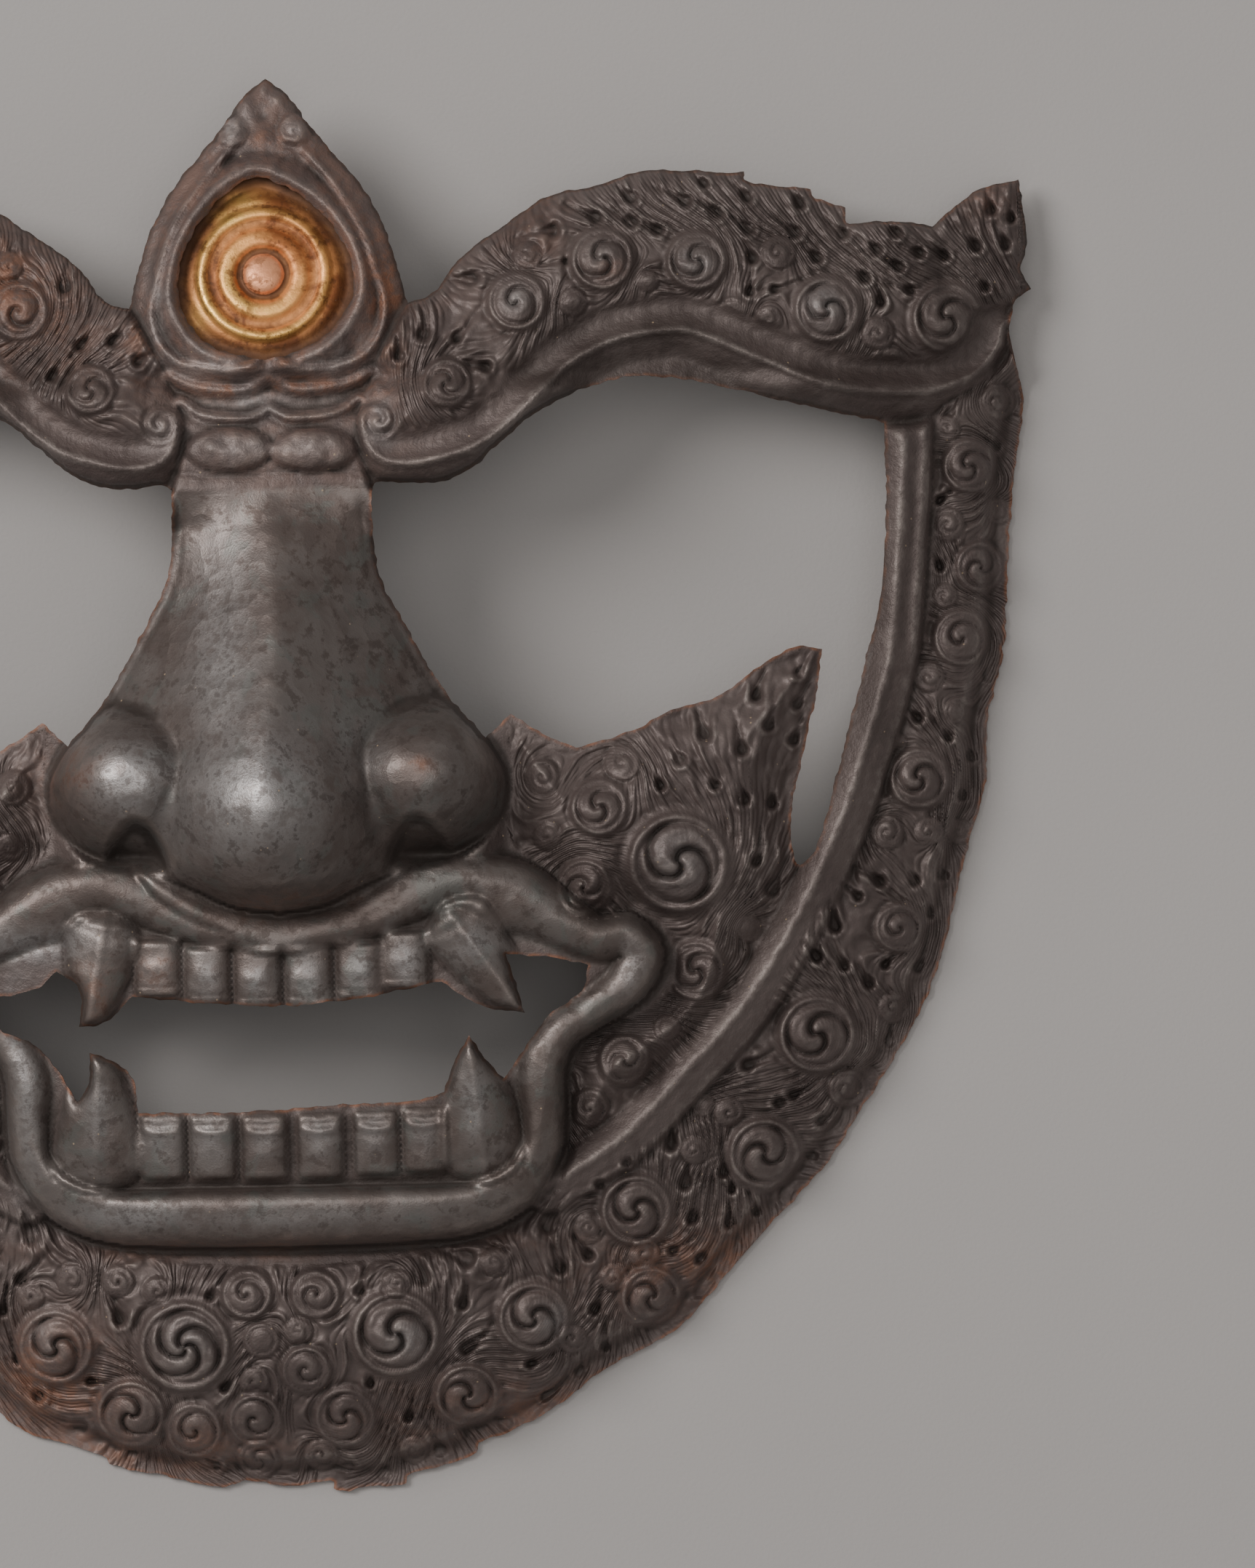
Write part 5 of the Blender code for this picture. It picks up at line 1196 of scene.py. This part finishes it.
class Board:
    """A node tree under work, with one short call for each kind of node."""

    def __init__(self, tree):
        self.tree = tree

    def add(self, kind, **settings):
        """A new node with the given settings."""
        made = self.tree.nodes.new(kind)
        for name, value in settings.items():
            setattr(made, name, value)
        return made

    def plug(self, socket, value):
        """Link an output to the socket, or set a plain value on it."""
        if isinstance(value, bpy.types.NodeSocket):
            self.tree.links.new(value, socket)
        else:
            socket.default_value = value

    def math(self, operation, *values, clamp=False):
        """The result of one sum."""
        made = self.add("ShaderNodeMath", operation=operation, use_clamp=clamp)
        for socket, value in zip(made.inputs, values, strict=False):
            self.plug(socket, value)
        return made.outputs[0]

    def mix(self, share, low, high):
        """A colour between low and high."""
        made = self.add("ShaderNodeMix", data_type="RGBA", clamp_factor=True)
        self.plug(made.inputs["Factor"], share)
        self.plug(made.inputs["A"], low)
        self.plug(made.inputs["B"], high)
        return made.outputs["Result"]

    def span(self, value, start, end, low=0.0, high=1.0):
        """Low until value is start, high from end on, and a soft step between."""
        made = self.add("ShaderNodeMapRange", interpolation_type="SMOOTHSTEP")
        for name, number in (
            ("Value", value), ("From Min", start), ("From Max", end), ("To Min", low), ("To Max", high)
        ):
            self.plug(made.inputs[name], number)
        return made.outputs["Result"]

    def noise(self, place, scale, detail=3.0, rough=0.55, warp=0.0):
        """Noise about 0.5, with scale waves to the metre."""
        made = self.add("ShaderNodeTexNoise")
        self.plug(made.inputs["Vector"], place)
        self.plug(made.inputs["Scale"], scale)
        made.inputs["Detail"].default_value = detail
        made.inputs["Roughness"].default_value = rough
        made.inputs["Distortion"].default_value = warp
        return made.outputs["Fac"]

    def look(self, name):
        """A number that the mesh carries for its finish."""
        made = self.add("ShaderNodeAttribute", attribute_name=name)
        return made.outputs["Fac"]

    def place(self):
        """The point on the piece, in metres."""
        return self.add("ShaderNodeTexCoord").outputs["Object"]

    def group(self, tree, **values):
        """The outputs of a shared group. An underscore stands for a space in a name."""
        made = self.add("ShaderNodeGroup", node_tree=tree)
        for name, value in values.items():
            self.plug(made.inputs[name.replace("_", " ")], value)
        return made.outputs


def new_group(name, inputs, outputs):
    """An empty shared group: its board, what it is given and what it gives."""
    tree = bpy.data.node_groups.new(name, "ShaderNodeTree")
    kinds = {"number": "NodeSocketFloat", "place": "NodeSocketVector"}
    for label, kind, value in inputs:
        socket = tree.interface.new_socket(name=label, in_out="INPUT", socket_type=kinds[kind])
        if value is not None:
            socket.default_value = value
    for label, kind in outputs:
        tree.interface.new_socket(name=label, in_out="OUTPUT", socket_type=kinds[kind])
    board = Board(tree)
    return board, board.add("NodeGroupInput").outputs, board.add("NodeGroupOutput").inputs


def wear_group():
    """Rubbed on what stands proud, dark in what lies deep, both broken up by noise."""
    board, given, out = new_group(
        "rubbed and hollow",
        [("Place", "place", None), ("Proud", "number", 0.0), ("Rub From", "number", 0.3),
         ("Rub To", "number", 1.4), ("Hollow From", "number", -0.2), ("Hollow To", "number", -1.4)],
        [("Rubbed", "number"), ("Hollow", "number")],
    )
    broken = board.noise(given["Place"], 260.0, 4.0, 0.6)
    uneven = board.math("MULTIPLY_ADD", broken, 1.1, -0.55)
    proud = board.math("ADD", given["Proud"], uneven)
    board.plug(out["Rubbed"], board.span(proud, given["Rub From"], given["Rub To"]))
    deep = board.math("MULTIPLY_ADD", uneven, 0.5, given["Proud"])
    lack = board.math("MULTIPLY", deep, -1.0)
    start = board.math("MULTIPLY", given["Hollow From"], -1.0)
    end = board.math("MULTIPLY", given["Hollow To"], -1.0)
    board.plug(out["Hollow"], board.span(lack, start, end))
    return board.tree


def hammer_group():
    """Shallow dents of a planishing hammer with a fine grain over them, as a height in mm."""
    board, given, out = new_group(
        "hammer dents and grain",
        [("Place", "place", None), ("Dents", "number", 0.03), ("Grain", "number", 0.01)],
        [("Height", "number")],
    )
    cells = board.add("ShaderNodeTexVoronoi")
    wobble = board.add("ShaderNodeVectorMath", operation="MULTIPLY_ADD")
    bend = board.add("ShaderNodeTexNoise")
    bend.inputs["Scale"].default_value = 90.0
    board.plug(bend.inputs["Vector"], given["Place"])
    board.plug(wobble.inputs[0], bend.outputs["Color"])
    wobble.inputs[1].default_value = (0.004, 0.004, 0.004)
    board.plug(wobble.inputs[2], given["Place"])
    board.plug(cells.inputs["Vector"], wobble.outputs[0])
    cells.inputs["Scale"].default_value = 210.0
    bowls = board.math("MULTIPLY", cells.outputs["Distance"], cells.outputs["Distance"])
    dents = board.math("MULTIPLY", bowls, given["Dents"])
    fine = board.noise(given["Place"], 1900.0, 2.0, 0.6)
    grain = board.math("MULTIPLY", fine, given["Grain"])
    board.plug(out["Height"], board.math("ADD", dents, grain))
    return board.tree


def dust_group():
    """Scattered pale specks."""
    board, given, out = new_group(
        "dust specks",
        [("Place", "place", None), ("Size", "number", 900.0), ("Amount", "number", 0.1)],
        [("Specks", "number")],
    )
    cells = board.add("ShaderNodeTexVoronoi")
    board.plug(cells.inputs["Vector"], given["Place"])
    board.plug(cells.inputs["Scale"], given["Size"])
    dot = board.span(cells.outputs["Distance"], 0.2, 0.1)
    split = board.add("ShaderNodeSeparateColor")
    board.plug(split.inputs[0], cells.outputs["Color"])
    chosen = board.math("LESS_THAN", split.outputs[0], given["Amount"])
    board.plug(out["Specks"], board.math("MULTIPLY", dot, chosen))
    return board.tree


def new_material(name):
    """A material, its board and its main shader."""
    material = bpy.data.materials.new(name)
    material.use_nodes = True
    board = Board(material.node_tree)
    return material, board, material.node_tree.nodes["Principled BSDF"]


def dark_copper(wear, hammer, dust):
    """Dark patina over raised copper, rubbed, reddened, with painted highlights (partly scuffs) and painted
    shade.
    """
    material, board, shader = new_material("dark patinated copper")
    place = board.place()
    proud, hair = board.look("proud"), board.look("hair")
    plain, edge = board.look("smooth_metal"), board.look("edge")
    worn = board.group(wear, Place=place, Proud=proud, Rub_From=0.25, Rub_To=1.2)
    cloud = board.noise(place, 55.0, 4.0, 0.62, 0.3)
    mottle = board.noise(place, 240.0, 5.0, 0.7)
    spots = board.span(mottle, 0.5, 0.62)

    # Patina: brown-black in the hair, blue-grey where the metal is plain, silvery painted highlights,
    # partly scuffs, in listed patches
    patina = board.mix(board.span(cloud, 0.38, 0.62), PATINA_DARK, PATINA_LIGHT)
    bare = board.mix(board.span(cloud, 0.4, 0.6), BARE_DARK, BARE_LIGHT)
    green = board.span(board.noise(place, 95.0, 4.0, 0.6, 0.5), 0.53, 0.64, 0.0, 0.55)
    bare = board.mix(green, bare, BARE_GREENISH)
    colour = board.mix(plain, patina, bare)
    # Painted highlights, partly scuffs: silvery and more metallic in the listed patches
    highlight_and_scuff = board.math("MULTIPLY", board.look("highlight_and_scuff"), board.span(mottle, 0.36, 0.6, 0.25, 1.0))
    colour = board.mix(highlight_and_scuff, colour, SILVERY_HIGHLIGHT)
    blots = board.math("MULTIPLY", board.math("MULTIPLY", spots, plain), 0.6)
    colour = board.mix(blots, colour, BLOT)
    rub = board.math("MULTIPLY", worn["Rubbed"], board.span(cloud, 0.35, 0.65, 0.25, 0.7))
    rub = board.math("MULTIPLY", rub, board.span(mottle, 0.42, 0.55, 0.3, 1.0))
    colour = board.mix(rub, colour, RUBBED)

    # Bare copper shows on the cut edges and in reddened places
    near_edge = board.span(edge, 1.1, 0.1)
    red = board.math("MULTIPLY", near_edge, board.span(mottle, 0.42, 0.6, 0.15, 0.75))
    blush = board.math("MULTIPLY", board.look("reddened"), board.span(cloud, 0.4, 0.6, 0.2, 1.0))
    blush = board.math("MULTIPLY", blush, board.span(mottle, 0.4, 0.56, 0.35, 1.0))
    red = board.math("MAXIMUM", red, blush)
    colour = board.mix(red, colour, COPPER_RED)
    # Painted shade, partly darker patina: near-black in the listed patches such as the brow walls and the
    # crown hair
    painted_shade_share = board.math("MULTIPLY", board.look("painted_shade"), board.span(cloud, 0.6, 0.4, 0.6, 1.0))
    colour = board.mix(painted_shade_share, colour, PAINTED_SHADE_COLOUR)
    deep = board.math("MULTIPLY", worn["Hollow"], 0.8)
    colour = board.mix(deep, colour, DIRT)
    specks = board.group(dust, Place=place, Size=620.0, Amount=0.022)["Specks"]
    colour = board.mix(board.math("MULTIPLY", specks, 0.8), colour, DUST)
    board.plug(shader.inputs["Base Color"], colour)

    metal = board.math("MULTIPLY_ADD", plain, 0.3, 0.36)
    metal = board.math("MULTIPLY_ADD", board.math("MAXIMUM", rub, highlight_and_scuff), 0.35, metal)
    metal = board.math("MULTIPLY_ADD", deep, -0.45, metal)
    metal = board.math("MULTIPLY_ADD", specks, -0.8, metal, clamp=True)
    board.plug(shader.inputs["Metallic"], metal)
    rough = board.math("MULTIPLY_ADD", mottle, 0.3, 0.36)
    rough = board.math("MULTIPLY_ADD", plain, -0.07, rough)
    rough = board.math("MULTIPLY_ADD", deep, 0.25, rough)
    rough = board.math("MULTIPLY_ADD", spots, 0.06, rough, clamp=True)
    board.plug(shader.inputs["Roughness"], rough)

    # Chased strands follow the hair, hammer dents and grain lie under everything
    waver = board.noise(place, 170.0, 2.0)
    turn = board.math("MULTIPLY", board.look("strands"), 2 * math.pi / 1.35)
    turn = board.math("MULTIPLY_ADD", waver, 7.0, turn)
    strand = board.math("MULTIPLY_ADD", board.math("SINE", turn), 0.5, 0.5)
    strand = board.math("MULTIPLY", board.math("POWER", strand, 0.7), hair)
    strand = board.math("MULTIPLY", strand, board.span(board.noise(place, 120.0, 2.0), 0.3, 0.6, 0.35, 1.0))
    height = board.math("MULTIPLY", strand, 0.2)
    carved = board.math("SUBTRACT", 1.0, board.math("MAXIMUM", plain, hair), clamp=True)
    chips = board.math("MULTIPLY", carved, board.noise(place, 480.0, 4.0, 0.68))
    height = board.math("MULTIPLY_ADD", chips, 0.4, height)
    blows = board.math("MULTIPLY_ADD", plain, 0.14, 0.06)
    dents = board.group(hammer, Place=place, Dents=blows, Grain=0.07)["Height"]
    bump = board.add("ShaderNodeBump")
    bump.inputs["Strength"].default_value = 1.0
    bump.inputs["Distance"].default_value = 0.001
    board.plug(bump.inputs["Height"], board.math("ADD", height, dents))
    board.plug(shader.inputs["Normal"], bump.outputs[0])
    return material


def gilt_copper(wear, hammer, dust):
    """Worn gilding over copper, darker in the hollows and, as painted shade, towards the lid."""
    material, board, shader = new_material("worn gilt copper")
    place = board.place()
    worn = board.group(
        wear, Place=place, Proud=board.look("proud"), Rub_From=0.1, Rub_To=0.7,
        Hollow_From=-0.1, Hollow_To=-0.6,
    )
    cloud = board.noise(place, 90.0, 4.0, 0.6, 0.4)
    fine = board.noise(place, 420.0, 4.0, 0.65)
    gold = board.look("gold")
    colour = board.mix(board.span(cloud, 0.4, 0.6), GILT_DARK, GILT_LIGHT)
    worn_gold = board.math("MULTIPLY", gold, board.span(fine, 0.3, 0.55, 0.5, 1.0))
    colour = board.mix(worn_gold, colour, GOLD)
    colour = board.mix(board.look("boss"), colour, BOSS_COPPER)
    stain = board.math("MULTIPLY", board.span(fine, 0.5, 0.6), board.span(cloud, 0.6, 0.42, 0.15, 0.7))
    colour = board.mix(stain, colour, GILT_STAIN)
    # Dirt in the hollows, and painted shade towards the lid where the leaf shades the disc
    dark = board.math("MAXIMUM", board.math("MULTIPLY", worn["Hollow"], 0.8), board.look("shade"))
    colour = board.mix(dark, colour, GILT_DIRT_AND_PAINTED_SHADE)
    specks = board.group(dust, Place=place, Size=700.0, Amount=0.03)["Specks"]
    colour = board.mix(board.math("MULTIPLY", specks, 0.6), colour, DUST)
    board.plug(shader.inputs["Base Color"], colour)
    metal = board.math("MULTIPLY_ADD", gold, 0.25, 0.72)
    metal = board.math("MULTIPLY_ADD", dark, -0.4, metal)
    board.plug(shader.inputs["Metallic"], metal)
    rough = board.math("MULTIPLY_ADD", fine, 0.3, 0.33)
    rough = board.math("MULTIPLY_ADD", gold, -0.1, rough)
    board.plug(shader.inputs["Roughness"], board.math("MULTIPLY_ADD", dark, 0.25, rough, clamp=True))
    dents = board.group(hammer, Place=place, Dents=0.12, Grain=0.06)["Height"]
    bump = board.add("ShaderNodeBump")
    bump.inputs["Strength"].default_value = 1.0
    bump.inputs["Distance"].default_value = 0.001
    board.plug(bump.inputs["Height"], dents)
    board.plug(shader.inputs["Normal"], bump.outputs[0])
    return material


def floor_paper():
    """Matt grey paper with a faint fibre."""
    material, board, shader = new_material("pale grey paper")
    place = board.place()
    cloud = board.noise(place, 6.0, 3.0)
    fibre = board.noise(place, 900.0, 4.0, 0.6)
    share = board.math("MULTIPLY_ADD", fibre, 0.35, board.math("MULTIPLY", cloud, 0.65))
    board.plug(shader.inputs["Base Color"], board.mix(share, PAPER_DARK, PAPER_LIGHT))
    board.plug(shader.inputs["Roughness"], board.math("MULTIPLY_ADD", fibre, 0.1, 0.8))
    bump = board.add("ShaderNodeBump")
    bump.inputs["Strength"].default_value = 0.3
    bump.inputs["Distance"].default_value = 0.0003
    board.plug(bump.inputs["Height"], fibre)
    board.plug(shader.inputs["Normal"], bump.outputs[0])
    return material


def make_floor():
    """A wide sheet of paper just under the mask."""
    mesh = bpy.data.meshes.new("floor")
    reach = 4.0
    mesh.from_pydata(
        [(-reach, -reach, 0), (reach, -reach, 0), (reach, reach, 0), (-reach, reach, 0)],
        [], [(0, 1, 2, 3)],
    )
    mesh.materials.append(floor_paper())
    floor = bpy.data.objects.new("floor", mesh)
    floor.location.z = -0.0002
    bpy.context.scene.collection.objects.link(floor)


def make_light(name, place, aim, size, power, colour):
    """A round soft light that looks at aim."""
    lamp = bpy.data.lights.new(name, "AREA")
    lamp.shape = "DISK"
    lamp.size = size
    lamp.energy = power
    lamp.color = colour
    light = bpy.data.objects.new(name, lamp)
    light.location = place
    light.rotation_euler = (Vector(aim) - Vector(place)).to_track_quat("-Z", "Y").to_euler()
    bpy.context.scene.collection.objects.link(light)


def make_studio():
    """One soft light from the upper left, a weaker one overhead and an even pale room."""
    make_light("window side", (-1.5, 0.95, 1.9), (0, 0, 0), 1.3, 50.0, (1.0, 0.97, 0.945))
    make_light("overhead", (0.2, 0.3, 2.7), (0, 0, 0), 1.8, 17.0, (1.0, 0.98, 0.96))
    world = bpy.data.worlds.new("studio")
    world.use_nodes = True
    bpy.context.scene.world = world
    sky = world.node_tree.nodes["Background"]
    sky.inputs["Color"].default_value = (0.95, 0.93, 0.91, 1.0)
    sky.inputs["Strength"].default_value = 0.4


def make_camera():
    """Straight down over the middle of the photograph's frame, turned as the mask leans in it."""
    lens = bpy.data.cameras.new("camera")
    far = 3.2
    lens.sensor_fit = "VERTICAL"
    lens.sensor_height = 36.0
    lens.lens = 36.0 * (far - 0.025) / 0.3976
    camera = bpy.data.objects.new("camera", lens)
    camera.location = (0.0880, -0.0007, far)
    camera.rotation_euler = (0.0, 0.0, math.radians(-1.19))
    bpy.context.scene.collection.objects.link(camera)
    bpy.context.scene.camera = camera


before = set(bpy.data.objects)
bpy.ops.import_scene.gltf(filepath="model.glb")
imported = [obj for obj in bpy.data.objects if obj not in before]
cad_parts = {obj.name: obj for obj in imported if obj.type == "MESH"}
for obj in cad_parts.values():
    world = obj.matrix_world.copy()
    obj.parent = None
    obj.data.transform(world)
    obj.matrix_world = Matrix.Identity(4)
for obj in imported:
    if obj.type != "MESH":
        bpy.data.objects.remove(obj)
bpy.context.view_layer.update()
wear, hammer, dust = wear_group(), hammer_group(), dust_group()
make_mask(dark_copper(wear, hammer, dust))
make_eye(gilt_copper(wear, hammer, dust))
make_floor()
make_studio()
make_camera()
